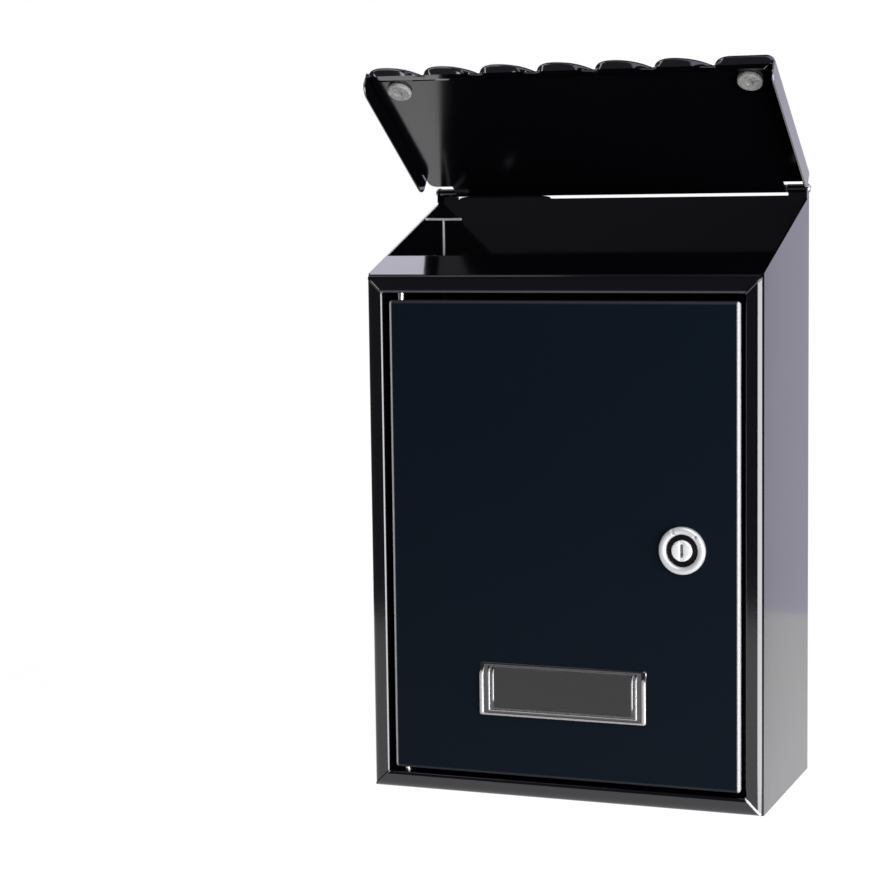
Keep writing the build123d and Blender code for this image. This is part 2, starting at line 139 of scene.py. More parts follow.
class MailboxSeams(bpy.types.PropertyGroup):
    """Sizes of the seams' beads and of the strip on the back panel's edge."""

    radius: bpy.props.FloatProperty(
        name="Bead", description="Radius of a bead", unit="LENGTH", default=0.0007,
    )
    fold: bpy.props.FloatProperty(
        name="Frame fold", description="Radius of the frame's outer fold", unit="LENGTH", default=0.0035,
    )
    inner_fold: bpy.props.FloatProperty(
        name="Inner fold", description="Radius of the frame's inner fold", unit="LENGTH", default=0.0016,
    )
    band: bpy.props.FloatProperty(
        name="Frame band", description="Width of the front frame", unit="LENGTH", default=0.0087,
    )
    tack_height: bpy.props.FloatProperty(
        name="Tack", description="Height of the tack across the back corner",
        unit="LENGTH", default=0.1346,
    )
    tack_side: bpy.props.FloatProperty(
        name="Tack along side", description="Length of the tack on the side panel",
        unit="LENGTH", default=0.0245,
    )
    tack_back: bpy.props.FloatProperty(
        name="Tack along back", description="Length of the tack on the back panel",
        unit="LENGTH", default=0.0115,
    )
    edge: bpy.props.FloatProperty(
        name="Back edge", description="Height of the back panel's upper edge",
        unit="LENGTH", default=0.145,
    )
    strip_ends: bpy.props.FloatVectorProperty(
        name="Strip", description="Left and right ends of the strip on the back panel's edge",
        unit="LENGTH", size=2, default=(-0.0935, -0.0395),
    )


class MailboxLock(bpy.types.PropertyGroup):
    """Sizes of the turned lock."""

    pocket_radius: bpy.props.FloatProperty(
        name="Pocket", description="Radius of the recess inside the ring", unit="LENGTH", default=0.0082,
    )
    pocket_floor: bpy.props.FloatProperty(
        name="Pocket floor", description="Height of the recess above the door",
        unit="LENGTH", default=0.0008,
    )
    bore_radius: bpy.props.FloatProperty(
        name="Bore", description="Radius of the bore round the plug", unit="LENGTH", default=0.00465,
    )
    barrel_radius: bpy.props.FloatProperty(
        name="Barrel", description="Radius of the threaded barrel", unit="LENGTH", default=0.009,
    )
    barrel_flats: bpy.props.FloatProperty(
        name="Flats", description="Width across the barrel's two flats", unit="LENGTH", default=0.016,
    )
    thread_pitch: bpy.props.FloatProperty(
        name="Thread pitch", description="Advance of the thread in a turn", unit="LENGTH", default=0.001,
    )
    thread_depth: bpy.props.FloatProperty(
        name="Thread depth", description="Height of the thread", unit="LENGTH", default=0.0004,
    )
    cheek_radius: bpy.props.FloatProperty(
        name="Cheeks", description="Radius round the two raised cheeks beside the keyway",
        unit="LENGTH", default=0.0049,
    )
    cheek_height: bpy.props.FloatProperty(
        name="Cheek height", description="Rise of the cheeks above the plug",
        unit="LENGTH", default=0.0004,
    )
    keyway_half: bpy.props.FloatProperty(
        name="Keyway", description="Half the space between the cheeks", unit="LENGTH", default=0.001,
    )
    notch_angle: bpy.props.FloatProperty(
        name="Notch", description="Place of the notch in the ring",
        subtype="ANGLE", default=radians(116),
    )
    dot_angle: bpy.props.FloatProperty(
        name="Dot", description="Place of the punched dot in the ring",
        subtype="ANGLE", default=radians(45),
    )


class MailboxHolder(bpy.types.PropertyGroup):
    """Sizes of the name holder's moulded frame."""

    side_width: bpy.props.FloatProperty(
        name="Side width", description="Width of the frame's left and right sides",
        unit="LENGTH", default=0.0082,
    )
    foot_width: bpy.props.FloatProperty(
        name="Foot width", description="Width of the frame's lower side", unit="LENGTH", default=0.00405,
    )
    head_width: bpy.props.FloatProperty(
        name="Head width", description="Width of the frame's upper side", unit="LENGTH", default=0.00275,
    )
    pocket: bpy.props.FloatProperty(
        name="Pocket", description="Height of the card's pocket above the door",
        unit="LENGTH", default=0.00122,
    )
    peg_place: bpy.props.FloatProperty(
        name="Peg place", description="Distance of the pegs from the middle",
        unit="LENGTH", default=0.0425,
    )
    peg_radius: bpy.props.FloatProperty(
        name="Peg head", description="Radius of the heads behind the door",
        unit="LENGTH", default=0.0022,
    )


class MailboxLid(bpy.types.PropertyGroup):
    """Sizes of the lid's tile roof, and the place and sizes of its rubber bumpers."""

    tilt: bpy.props.FloatProperty(
        name="Lid tilt", description="Rise of the part open lid", subtype="ANGLE", default=radians(34.5),
    )
    plate: bpy.props.FloatProperty(
        name="Plate", description="Depth of the plate's lower face under the hinge",
        unit="LENGTH", default=0.0021,
    )
    tiles: bpy.props.IntProperty(
        name="Tiles", description="Number of tiles across the lid", default=7, min=2,
    )
    valley: bpy.props.FloatProperty(
        name="Valley", description="Depth of the valleys under the hinge", unit="LENGTH", default=0.0005,
    )
    tile_rise: bpy.props.FloatProperty(
        name="Tile rise", description="Height of a tile above its valleys",
        unit="LENGTH", default=0.0047,
    )
    crest: bpy.props.FloatProperty(
        name="Crest", description="Share of a tile's width at which it is highest",
        default=0.28, min=0.1, max=0.9,
    )
    end_round: bpy.props.FloatProperty(
        name="End round", description="Radius of the last tile's outer shoulder",
        unit="LENGTH", default=0.0055,
    )
    roof_back: bpy.props.FloatProperty(
        name="Roof back", description="Distance of the roof's back edge from the hinge",
        unit="LENGTH", default=0.0135,
    )
    roof_front: bpy.props.FloatProperty(
        name="Roof front", description="Distance of the roof's front from the hinge",
        unit="LENGTH", default=0.107,
    )
    nose: bpy.props.FloatProperty(
        name="Nose", description="Radius of the tiles' front edge at its crest",
        unit="LENGTH", default=0.003,
    )
    nose_valley: bpy.props.FloatProperty(
        name="Valley nose", description="Radius of the front edge in the valleys",
        unit="LENGTH", default=0.002,
    )
    set_back: bpy.props.FloatProperty(
        name="Set back", description="Distance of the valleys behind the crests at the front",
        unit="LENGTH", default=0.002,
    )
    hem: bpy.props.FloatProperty(
        name="Hem", description="Depth of the front hem under the hinge", unit="LENGTH", default=0.0029,
    )
    hem_return: bpy.props.FloatProperty(
        name="Hem return", description="Length of the hem folded under the plate",
        unit="LENGTH", default=0.0047,
    )
    skirt: bpy.props.FloatProperty(
        name="Skirt", description="Depth of the side skirts under the hinge",
        unit="LENGTH", default=0.0114,
    )
    skirt_back_corner: bpy.props.FloatProperty(
        name="Back corner", description="Radius of the skirts' back corner",
        unit="LENGTH", default=0.005,
    )
    skirt_front_corner: bpy.props.FloatProperty(
        name="Front corner", description="Radius of the skirts' front corner",
        unit="LENGTH", default=0.007,
    )
    sheet: bpy.props.FloatProperty(
        name="Roof sheet", description="Thickness of the roof's sheet", unit="LENGTH", default=0.0008,
    )
    bumper_side: bpy.props.FloatProperty(
        name="Bumper side", description="Distance of the bumpers from the middle",
        unit="LENGTH", default=0.0935,
    )
    bumper_reach: bpy.props.FloatProperty(
        name="Bumper reach", description="Distance of the bumpers from the hinge",
        unit="LENGTH", default=0.0943,
    )
    bumper_radius: bpy.props.FloatProperty(
        name="Bumper radius", description="Radius of a bumper", unit="LENGTH", default=0.00635,
    )
    bumper_height: bpy.props.FloatProperty(
        name="Bumper height", description="Thickness of a bumper", unit="LENGTH", default=0.0024,
    )


class MailboxStage(bpy.types.PropertyGroup):
    """Camera and studio light."""

    camera_place: bpy.props.FloatVectorProperty(
        name="Camera", description="Place of the camera in the part's frame",
        subtype="TRANSLATION", unit="LENGTH", size=3, default=(0.3489, -1.0923, 0.1252),
    )
    yaw: bpy.props.FloatProperty(
        name="Yaw", description="Turn of the camera about the vertical, to the right",
        subtype="ANGLE", default=-0.324,
    )
    pitch: bpy.props.FloatProperty(
        name="Pitch", description="Tilt of the camera above the horizon",
        subtype="ANGLE", default=-0.095,
    )
    roll: bpy.props.FloatProperty(
        name="Roll", description="Turn of the camera about its own line of sight",
        subtype="ANGLE", default=-0.007,
    )
    focal_pixels: bpy.props.FloatProperty(
        name="Focal length", description="Focal length in pixels of the square picture",
        default=2095.5, min=1,
    )
    middle_x: bpy.props.FloatProperty(
        name="Middle column", description="Pixel column that the camera's line of sight goes through",
        default=590.0,
    )
    floor_drop: bpy.props.FloatProperty(
        name="Floor drop", description="Height at which the box hangs above the floor",
        unit="LENGTH", default=0.55, min=0,
    )
    side_light: bpy.props.FloatProperty(
        name="Side light", description="Brightness of the wide box at the right, where 1 is white",
        default=9.5, min=0,
    )
    front_light: bpy.props.FloatProperty(
        name="Front light", description="Brightness of the box above the camera, where 1 is white",
        default=7.0, min=0,
    )
    top_light: bpy.props.FloatProperty(
        name="Top light", description="Brightness of the box behind and overhead, where 1 is white",
        default=2.6, min=0,
    )
    strip_light: bpy.props.FloatProperty(
        name="Strip light", description="Brightness of the narrow strip overhead, where 1 is white",
        default=2.5, min=0,
    )
    fill: bpy.props.FloatProperty(
        name="Fill", description="Brightness of the surroundings on rough surfaces",
        default=0.35, min=0,
    )


# Shader groups


def socket(group, name, kind, out=False, default=None):
    """Add a named socket to a node group."""
    s = group.interface.new_socket(
        name=name, in_out="OUTPUT" if out else "INPUT", socket_type="NodeSocket" + kind
    )
    if default is not None:
        s.default_value = default
    return s


def start_group(name, inputs, outputs):
    """Return a new shader group with these sockets, and its input and output nodes."""
    g = bpy.data.node_groups.new(name, "ShaderNodeTree")
    socket(g, "Vector", "Vector")
    for key, default in inputs.items():
        socket(g, key, "Color" if isinstance(default, tuple) else "Float", default=default)
    for key, kind in outputs.items():
        socket(g, key, kind, out=True)
    return g, g.nodes.new("NodeGroupInput").outputs, g.nodes.new("NodeGroupOutput").inputs


def feed(tree, place, value):
    """Set a socket to a number, or link it to another socket."""
    if isinstance(value, bpy.types.NodeSocket):
        tree.links.new(value, place)
    else:
        place.default_value = value


def sums(tree, kind, *values):
    """Add a math node of a kind and return its result."""
    node = tree.nodes.new("ShaderNodeMath")
    node.operation = kind
    for place, value in zip(node.inputs, values):
        feed(tree, place, value)
    return node.outputs[0]


def step(tree, value, low, high):
    """Return a smooth rise from 0 to 1 as a value goes from low to high."""
    node = tree.nodes.new("ShaderNodeMapRange")
    node.interpolation_type = "SMOOTHSTEP"
    for key, number in (("Value", value), ("From Min", low), ("From Max", high)):
        feed(tree, node.inputs[key], number)
    return node.outputs["Result"]


def noise(tree, vector, scale, detail, rough=0.5):
    """Add a noise and return its value."""
    node = tree.nodes.new("ShaderNodeTexNoise")
    for key, number in (("Vector", vector), ("Scale", scale), ("Detail", detail), ("Roughness", rough)):
        feed(tree, node.inputs[key], number)
    return node.outputs["Fac"]


def stretch(tree, vector, scale):
    """Return coordinates scaled along each axis."""
    node = tree.nodes.new("ShaderNodeMapping")
    node.inputs["Scale"].default_value = scale
    tree.links.new(vector, node.inputs["Vector"])
    return node.outputs["Vector"]


def blend_colour(tree, share, first, second):
    """Return a colour between two, by a share."""
    node = tree.nodes.new("ShaderNodeMix")
    node.data_type = "RGBA"
    for key, value in (("Factor", share), ("A", first), ("B", second)):
        place = next(s for s in node.inputs if s.name == key and s.enabled)
        feed(tree, place, value)
    return next(s for s in node.outputs if s.enabled)


def axes(tree, vector):
    """Return the three coordinates of a vector."""
    node = tree.nodes.new("ShaderNodeSeparateXYZ")
    tree.links.new(vector, node.inputs[0])
    return node.outputs


GREY = (0.5, 0.5, 0.5, 1)  # fills a group's colour inputs until a material sets them


def spray_group():
    """Sprayed paint: orange peel height from a noise, and gloss that varies in soft patches."""
    g, start, end = start_group(
        "Sprayed paint",
        {"Grain": 900.0, "Gloss": 0.1, "Patch": 0.05},
        {"Roughness": "Float", "Height": "Float"},
    )
    patch = noise(g, start["Vector"], scale=18.0, detail=5.0)
    g.links.new(sums(g, "MULTIPLY_ADD", patch, start["Patch"], start["Gloss"]), end["Roughness"])
    g.links.new(noise(g, start["Vector"], start["Grain"], detail=3.0), end["Height"])
    return g


def speck_group():
    """Fine specks: a colour broken by a noise at several scales."""
    g, start, end = start_group(
        "Fine specks",
        {"Colour": GREY, "Speck": GREY, "Scale": 500.0},
        {"Colour": "Color", "Height": "Float"},
    )
    grain = noise(g, start["Vector"], start["Scale"], detail=6.0, rough=0.65)
    share = step(g, grain, 0.36, 0.68)
    g.links.new(blend_colour(g, share, start["Colour"], start["Speck"]), end["Colour"])
    g.links.new(share, end["Height"])
    return g


def dust_and_sheen_group():
    """Settled dust and painted sheen: a pale colour in fine grains on the outer sides, which thins out
    upwards from a foot line. Besides the dust, it paints the brighter reflection low on the sides."""
    g, start, end = start_group(
        "Settled dust",
        {
            "Colour": GREY, "Dust": GREY, "Side": 0.0, "Foot": 0.0, "Reach": 0.1, "Amount": 0.2,
            "Grain": 160.0,
        },
        {"Colour": "Color"},
    )
    skin = 0.0006
    place = axes(g, start["Vector"])
    top = sums(g, "ADD", start["Foot"], start["Reach"])
    low = sums(g, "SUBTRACT", 1.0, step(g, place["Z"], start["Foot"], top))
    inner = sums(g, "SUBTRACT", start["Side"], skin)
    outer = step(g, sums(g, "ABSOLUTE", place["X"]), inner, start["Side"])
    grain = step(g, noise(g, start["Vector"], start["Grain"], detail=8.0, rough=0.7), 0.1, 0.8)
    dust_with_sheen = sums(g, "MULTIPLY", sums(g, "MULTIPLY", low, outer), grain)
    mask = sums(g, "MULTIPLY", dust_with_sheen, start["Amount"])
    g.links.new(blend_colour(g, mask, start["Colour"], start["Dust"]), end["Colour"])
    return g


def rim_wear_and_highlight_group():
    """Worn rim and painted highlight: a bare colour in a line along the four sides of a rectangle in x and z,
    on the front bend only, and broken by a noise. The line is worn paint and also a painted highlight along
    the rim."""
    g, start, end = start_group(
        "Rubbed rim and painted highlight",
        {
            "Colour": GREY, "Bare": GREY, "Side": 0.1, "Middle": 0.0, "Rise": 0.1, "Front": 0.0,
            "Line": 0.001, "Ends": 0.2,
        },
        {"Colour": "Color"},
    )
    place = axes(g, start["Vector"])
    across = sums(g, "ABSOLUTE", place["X"])
    upright = sums(g, "ABSOLUTE", sums(g, "SUBTRACT", place["Z"], start["Middle"]))
    sides = step(g, across, sums(g, "SUBTRACT", start["Side"], start["Line"]), start["Side"])
    ends = step(g, upright, sums(g, "SUBTRACT", start["Rise"], start["Line"]), start["Rise"])
    rim = sums(g, "MAXIMUM", sides, sums(g, "MULTIPLY", ends, start["Ends"]))
    behind = step(g, place["Y"], start["Front"], sums(g, "ADD", start["Front"], start["Line"]))
    rim = sums(g, "MULTIPLY", rim, sums(g, "SUBTRACT", 1.0, behind))
    broken = step(g, noise(g, start["Vector"], scale=220.0, detail=5.0, rough=0.6), 0.1, 0.42)
    mask = sums(g, "MULTIPLY", rim, broken)
    g.links.new(blend_colour(g, mask, start["Colour"], start["Bare"]), end["Colour"])
    return g


def crest_highlight_group():
    """Painted crest highlights: a pale colour on what stands forward of a depth in y, broken by a noise, as
    the beads' highlight.
    """
    g, start, end = start_group(
        "Painted crest highlights", {"Colour": GREY, "Pale": GREY, "Low": 0.0, "High": 0.001}, {"Colour": "Color"}
    )
    forward = sums(g, "MULTIPLY", axes(g, start["Vector"])["Y"], -1.0)
    broken = step(g, noise(g, start["Vector"], scale=400.0, detail=4.0, rough=0.6), 0.0, 0.45)
    mask = sums(g, "MULTIPLY", step(g, forward, start["Low"], start["High"]), broken)
    g.links.new(blend_colour(g, mask, start["Colour"], start["Pale"]), end["Colour"])
    return g


def scratch_group():
    """Hairlines: a noise drawn out along x or z, as roughness and height."""
    g, start, end = start_group(
        "Hairlines",
        {"Rough": 0.1, "Vary": 0.1, "Scale": 300.0},
        {"Roughness": "Float", "Height": "Float"},
    )
    drawn, fine = 0.15, 6
    along_x = noise(g, stretch(g, start["Vector"], (drawn, 1, fine)), start["Scale"], detail=4.0)
    along_z = noise(g, stretch(g, start["Vector"], (fine, 1, drawn)), start["Scale"], detail=4.0)
    share = step(g, sums(g, "MAXIMUM", along_x, along_z), 0.45, 0.75)
    g.links.new(sums(g, "MULTIPLY_ADD", share, start["Vary"], start["Rough"]), end["Roughness"])
    g.links.new(share, end["Height"])
    return g


# Materials


def start_material(name, **values):
    """Return a new material, its Principled shader with these socket values, and Object coordinates."""
    m = bpy.data.materials.new(name)
    m.use_nodes = True
    shader = m.node_tree.nodes["Principled BSDF"]
    for key, value in values.items():
        shader.inputs[key.replace("_", " ")].default_value = value
    place = m.node_tree.nodes.new("ShaderNodeTexCoord").outputs["Object"]
    return m, shader, place


def add_group(material, group, place, **values):
    """Place a shader group in a material with its own input values."""
    node = material.node_tree.nodes.new("ShaderNodeGroup")
    node.node_tree = group
    material.node_tree.links.new(place, node.inputs["Vector"])
    for key, value in values.items():
        feed(material.node_tree, node.inputs[key], value)
    return node.outputs


def add_colour(material, group, shader, place, **values):
    """Let a shader group give a material its base colour, and return the group's outputs."""
    outputs = add_group(material, group, place, **values)
    material.node_tree.links.new(outputs["Colour"], shader.inputs["Base Color"])
    return outputs


def add_bump(material, shader, height, strength, distance):
    """Bend a shader's normal by a height."""
    bump = material.node_tree.nodes.new("ShaderNodeBump")
    bump.inputs["Strength"].default_value = strength
    bump.inputs["Distance"].default_value = distance
    material.node_tree.links.new(height, bump.inputs["Height"])
    material.node_tree.links.new(bump.outputs["Normal"], shader.inputs["Normal"])


def opaque(colour, level=1.0):
    """Return a colour with alpha, brightened by a level."""
    return (*(level * c for c in colour), 1)


def paint_material(name, colour, spray, gloss, patch, grain, peel, **values):
    """Sprayed paint with orange peel; returns the material, its shader and its coordinates."""
    m, shader, place = start_material(name, Base_Color=opaque(colour), **values)
    coat = add_group(m, spray, place, Grain=grain, Gloss=gloss, Patch=patch)
    m.node_tree.links.new(coat["Roughness"], shader.inputs["Roughness"])
    add_bump(m, shader, coat["Height"], strength=peel, distance=0.0001)
    return m, shader, place


def metal_material(name, colour, hairlines, rough, vary, scale, metal=1.0):
    """Bright metal with fine hairlines, duller where its plating is frosted."""
    m, shader, place = start_material(name, Base_Color=opaque(colour), Metallic=metal)
    lines = add_group(m, hairlines, place, Rough=rough, Vary=vary, Scale=scale)
    m.node_tree.links.new(lines["Roughness"], shader.inputs["Roughness"])
    add_bump(m, shader, lines["Height"], strength=0.05, distance=0.00005)
    return m


def speck_material(name, colour, specks, speck, scale, bump, **values):
    """A matt stuff with fine specks, which are its colour brightened by a level."""
    m, shader, place = start_material(name, **values)
    mottle = add_colour(
        m, specks, shader, place, Colour=opaque(colour), Speck=opaque(colour, speck), Scale=scale
    )
    add_bump(m, shader, mottle["Height"], strength=bump, distance=0.00008)
    return m


def finish_nodes(material, *names):
    """Give CAD nodes a material."""
    for name in names:
        for place in frame["nodes"][name].material_slots:
            place.material = material


# Meshes


def add_piece(name, points, faces, material):
    """Return a new object at the origin, whose mesh has these points and faces."""
    mesh = bpy.data.meshes.new(name)
    mesh.from_pydata(points.tolist(), [], faces)
    mesh.materials.append(material)
    piece = bpy.data.objects.new(name, mesh)
    bpy.context.scene.collection.objects.link(piece)
    return piece


def smooth(piece):
    """Shade a piece smooth and keep its creases sharp."""
    piece.data.shade_smooth()
    piece.data.set_sharp_from_angle(angle=CREASE)


def surface(name, grid, material, ring=False, poles=False):
    """Closed mesh of a grid of points: quads join each row to the next and the last column to the first.
    The last row joins the first where ring is set, and each end is closed by a fan where poles is set.
    Its faces are turned over where the volume they hold comes out negative."""
    rows, columns = grid.shape[:2]
    points = grid.reshape(-1, 3)
    index = np.arange(rows * columns).reshape(rows, columns)
    beside = np.roll(index, -1, axis=1)
    fans = np.zeros((0, 3), int)
    if ring:
        index, beside = np.vstack([index, index[:1]]), np.vstack([beside, beside[:1]])
    if poles:
        first, last = np.full(columns, len(points)), np.full(columns, len(points) + 1)
        points = np.vstack([points, grid[0].mean(0), grid[-1].mean(0)])
        fans = np.vstack([
            np.stack([first, beside[0], index[0]], 1), np.stack([last, index[-1], beside[-1]], 1),
        ])
    quads = np.stack([index[:-1], beside[:-1], beside[1:], index[1:]], -1).reshape(-1, 4)
    corners = np.vstack([quads[:, [0, 1, 2]], quads[:, [0, 2, 3]], fans])
    a, b, c = (points[corners[:, k]] - points.mean(0) for k in range(3))
    if np.einsum("ij,ij->", a, np.cross(b, c)) < 0:
        quads, fans = quads[:, ::-1], fans[:, ::-1]
    piece = add_piece(name, points, quads.tolist() + fans.tolist(), material)
    smooth(piece)
    return piece


def sheet(name, grid, material):
    """Open sheet of a grid of points, with its faces to the side of row way x column way."""
    rows, columns = grid.shape[:2]
    index = np.arange(rows * columns).reshape(rows, columns)
    faces = np.stack([index[:-1, :-1], index[1:, :-1], index[1:, 1:], index[:-1, 1:]], -1).reshape(-1, 4)
    return add_piece(name, grid.reshape(-1, 3), faces.tolist(), material)


def line(*ends, count=6):
    """Points along a broken line, with count of them on each stretch and no point twice."""
    ends = np.array(ends, float)
    share = np.linspace(0, 1, count, endpoint=False)[None, :, None]
    run = (ends[:-1, None] * (1 - share) + ends[1:, None] * share).reshape(-1, 2)
    return np.vstack([run, ends[-1:]])


def turned(radius, height, centre, axis):
    """Lathe shape: rows of radius and height, with a column for each angle, carried round an axis through a
    centre from the x direction on."""
    angle = np.linspace(0, 2 * pi, radius.shape[1], endpoint=False)[:, None]
    side = np.array([1.0, 0, 0])
    around = np.cos(angle) * side + np.sin(angle) * np.cross(axis, side)
    return centre + radius[..., None] * around + height[..., None] * np.array(axis, float)


def lathe(profile, centre, axis, columns):
    """Lathe shape of a single profile, whose points are pairs of radius and height."""
    radius, height = (np.repeat(profile[:, k:k + 1], columns, 1) for k in (0, 1))
    return turned(radius, height, centre, axis)


# Operators


class MAILBOX_OT_body(bpy.types.Operator):
    """Paint the body, the lid and the door."""

    bl_idname = "mailbox.body"
    bl_label = "Paint the sheet metal"

    def execute(self, context):
        paint = context.scene.mailbox_paint
        spray, dust_and_sheen = spray_group(), dust_and_sheen_group()
        black, dust_with_sheen = opaque(paint.body), opaque(paint.dust_and_sheen)
        shine = (0.98, 0.97, 1.0, 1.0)
        gloss, shader, place = paint_material(
            "gloss_black", paint.body, spray, gloss=0.05, patch=0.06, grain=900.0, peel=0.04,
            IOR=1.65, Specular_Tint=shine,
        )
        # The lower outer sides are made paler: settled dust, and also a painted reflection low on the sides.
        add_colour(
            gloss, dust_and_sheen, shader, place, Colour=black, Dust=dust_with_sheen, Side=RIGHT_SIDE, Foot=BOX_FOOT,
            Reach=0.12, Amount=0.2, Grain=1500.0,
        )
        low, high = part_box("lid_tile_roof")
        roof, shader, place = paint_material(
            "roof_black", paint.body, spray, gloss=0.06, patch=0.06, grain=900.0, peel=0.04,
            IOR=2.1, Specular_Tint=shine,
        )
        # The lid's skirts are made paler low down: settled dust, and also a painted reflection on them.
        add_colour(
            roof, dust_and_sheen, shader, place, Colour=black, Dust=dust_with_sheen, Side=high[0], Foot=low[2],
            Reach=0.2, Amount=0.36, Grain=1500.0,
        )
        plate, *_ = paint_material(
            "plate_black", paint.body, spray, gloss=0.1, patch=0.08, grain=900.0, peel=0.04,
            IOR=1.75, Specular_Tint=shine,
        )
        satin, shader, place = paint_material(
            "door_blue_black", paint.door, spray, gloss=0.28, patch=0.08, grain=1400.0, peel=0.06,
            Specular_IOR_Level=0.06,
        )
        # A pale line along the door's rim: worn paint, and also a painted highlight, strongest on the left
        # and right sides.
        bend, rubbed_and_lit = 0.0008, 0.0012
        middle, half = (DOOR_LOW[2] + DOOR_HIGH[2]) / 2, (DOOR_HIGH[2] - DOOR_LOW[2]) / 2
        add_colour(
            satin, rim_wear_and_highlight_group(), shader, place, Colour=opaque(paint.door), Bare=opaque(paint.primer_and_highlight),
            Side=DOOR_HIGH[0] - bend, Middle=middle, Rise=half - bend, Front=DOOR_FRONT + rubbed_and_lit,
            Line=rubbed_and_lit, Ends=0.04,
        )
        finish_nodes(
            gloss, "left_side_panel", "right_side_panel", "bottom_panel", "back_panel", "front_top_rail"
        )
        finish_nodes(plate, "lid_inner_plate")
        finish_nodes(satin, "door_panel")
        return {"FINISHED"}


class MAILBOX_OT_fittings(bpy.types.Operator):
    """Finish the pins, rod, nut, plug, window and card, and mix the looks of the added pieces."""

    bl_idname = "mailbox.fittings"
    bl_label = "Finish the fittings"

    def execute(self, context):
        paint = context.scene.mailbox_paint
        lines, specks = scratch_group(), speck_group()
        metal_material("frosted_chrome", paint.ring, lines, rough=0.36, vary=0.15, scale=300.0, metal=0.4)
        nickel = metal_material(
            "satin_nickel", paint.chrome, lines, rough=0.4, vary=0.2, scale=500.0, metal=0.6
        )
        steel = metal_material("zinc_steel", paint.steel, lines, rough=0.18, vary=0.2, scale=400.0)
        speck_material(
            "bumper_grey", paint.rubber, specks, speck=1.9, scale=700.0, bump=0.25, Roughness=0.6
        )
        # Pale colour for the seams that carry it: a painted highlight along their beads.
        speck_material("painted_seam_highlight", paint.seam, specks, speck=0.9, scale=600.0, bump=0.2, Roughness=0.35)
        speck_material(
            "recess_black", paint.body, specks, speck=1.6, scale=900.0, bump=0.1,
            Roughness=0.55, Specular_IOR_Level=0.1,
        )
        card = speck_material(
            "slate_card", paint.card, specks, speck=1.08, scale=1500.0, bump=0.05, Roughness=0.7
        )
        holder, shader, place = start_material("holder_black", Roughness=0.1, IOR=1.9)
        # The holder's forward crests are painted pale: a painted highlight on the black beads.
        pale_from, pale_to = 0.00135, 0.0018
        add_colour(
            holder, crest_highlight_group(), shader, place, Colour=opaque(paint.plastic), Pale=opaque(paint.crest),
            Low=pale_from - DOOR_FRONT, High=pale_to - DOOR_FRONT,
        )
        clear, *_ = start_material(
            "clear_window", Base_Color=(1, 1, 1, 1), Roughness=0.03, IOR=1.6, Transmission_Weight=1.0
        )
        finish_nodes(nickel, "lock_plug")
        finish_nodes(
            steel, "lid_hinge_rod", "door_pin_upper", "door_pin_lower", "lock_nut", "lock_cam",
            "cam_washer", "cam_screw",
        )
        finish_nodes(clear, "name_window")
        finish_nodes(card, "name_card")
        return {"FINISHED"}


def bead_grid(path, aside, wide, tall, closing, columns=16):
    """Bead: ellipses carried along a path, square to its way, with one axis square to a direction aside.
    Within a closing length of both ends they shrink as a half circle does, down to a small tip."""
    tip = 0.02
    way = np.gradient(path, axis=0)
    way /= np.linalg.norm(way, axis=1, keepdims=True)
    gone = np.concatenate([[0], np.cumsum(np.linalg.norm(np.diff(path, axis=0), axis=1))])
    near = np.clip(np.minimum(gone, gone[-1] - gone) / closing, tip, 1)
    size = np.sqrt(1 - (1 - near) ** 2)[:, None, None]
    across = np.cross(way, aside)
    across /= np.linalg.norm(across, axis=1, keepdims=True)
    upward = np.cross(way, across)
    turn = np.linspace(0, 2 * pi, columns, endpoint=False)[None, :, None]
    ring = wide * np.cos(turn) * across[:, None] + tall * np.sin(turn) * upward[:, None]
    return path[:, None] + size * ring


def mitre_path(seams, side, top):
    """Middle line of a mitre's bead, from the frame's outer corner to its inner corner. At a distance e from
    both outer edges its depth follows the quarter circles of the outer and the inner fold."""
    start, past, sunk = 0.0009, 0.0002, 0.35 * seams.radius
    e = np.linspace(start, seams.band + past, 48)
    left = np.clip(seams.fold - e, 0, None)
    outer = seams.fold - np.sqrt(seams.fold**2 - left**2)
    bend = np.clip(e - seams.band + seams.inner_fold, 0, seams.inner_fold)
    inner = seams.inner_fold - np.sqrt(seams.inner_fold**2 - bend**2)
    z = FRAME_TOP - e if top else BOX_FOOT + e
    return np.stack([side * (RIGHT_SIDE - e), FRAME_FRONT + outer + inner + sunk, z], 1)


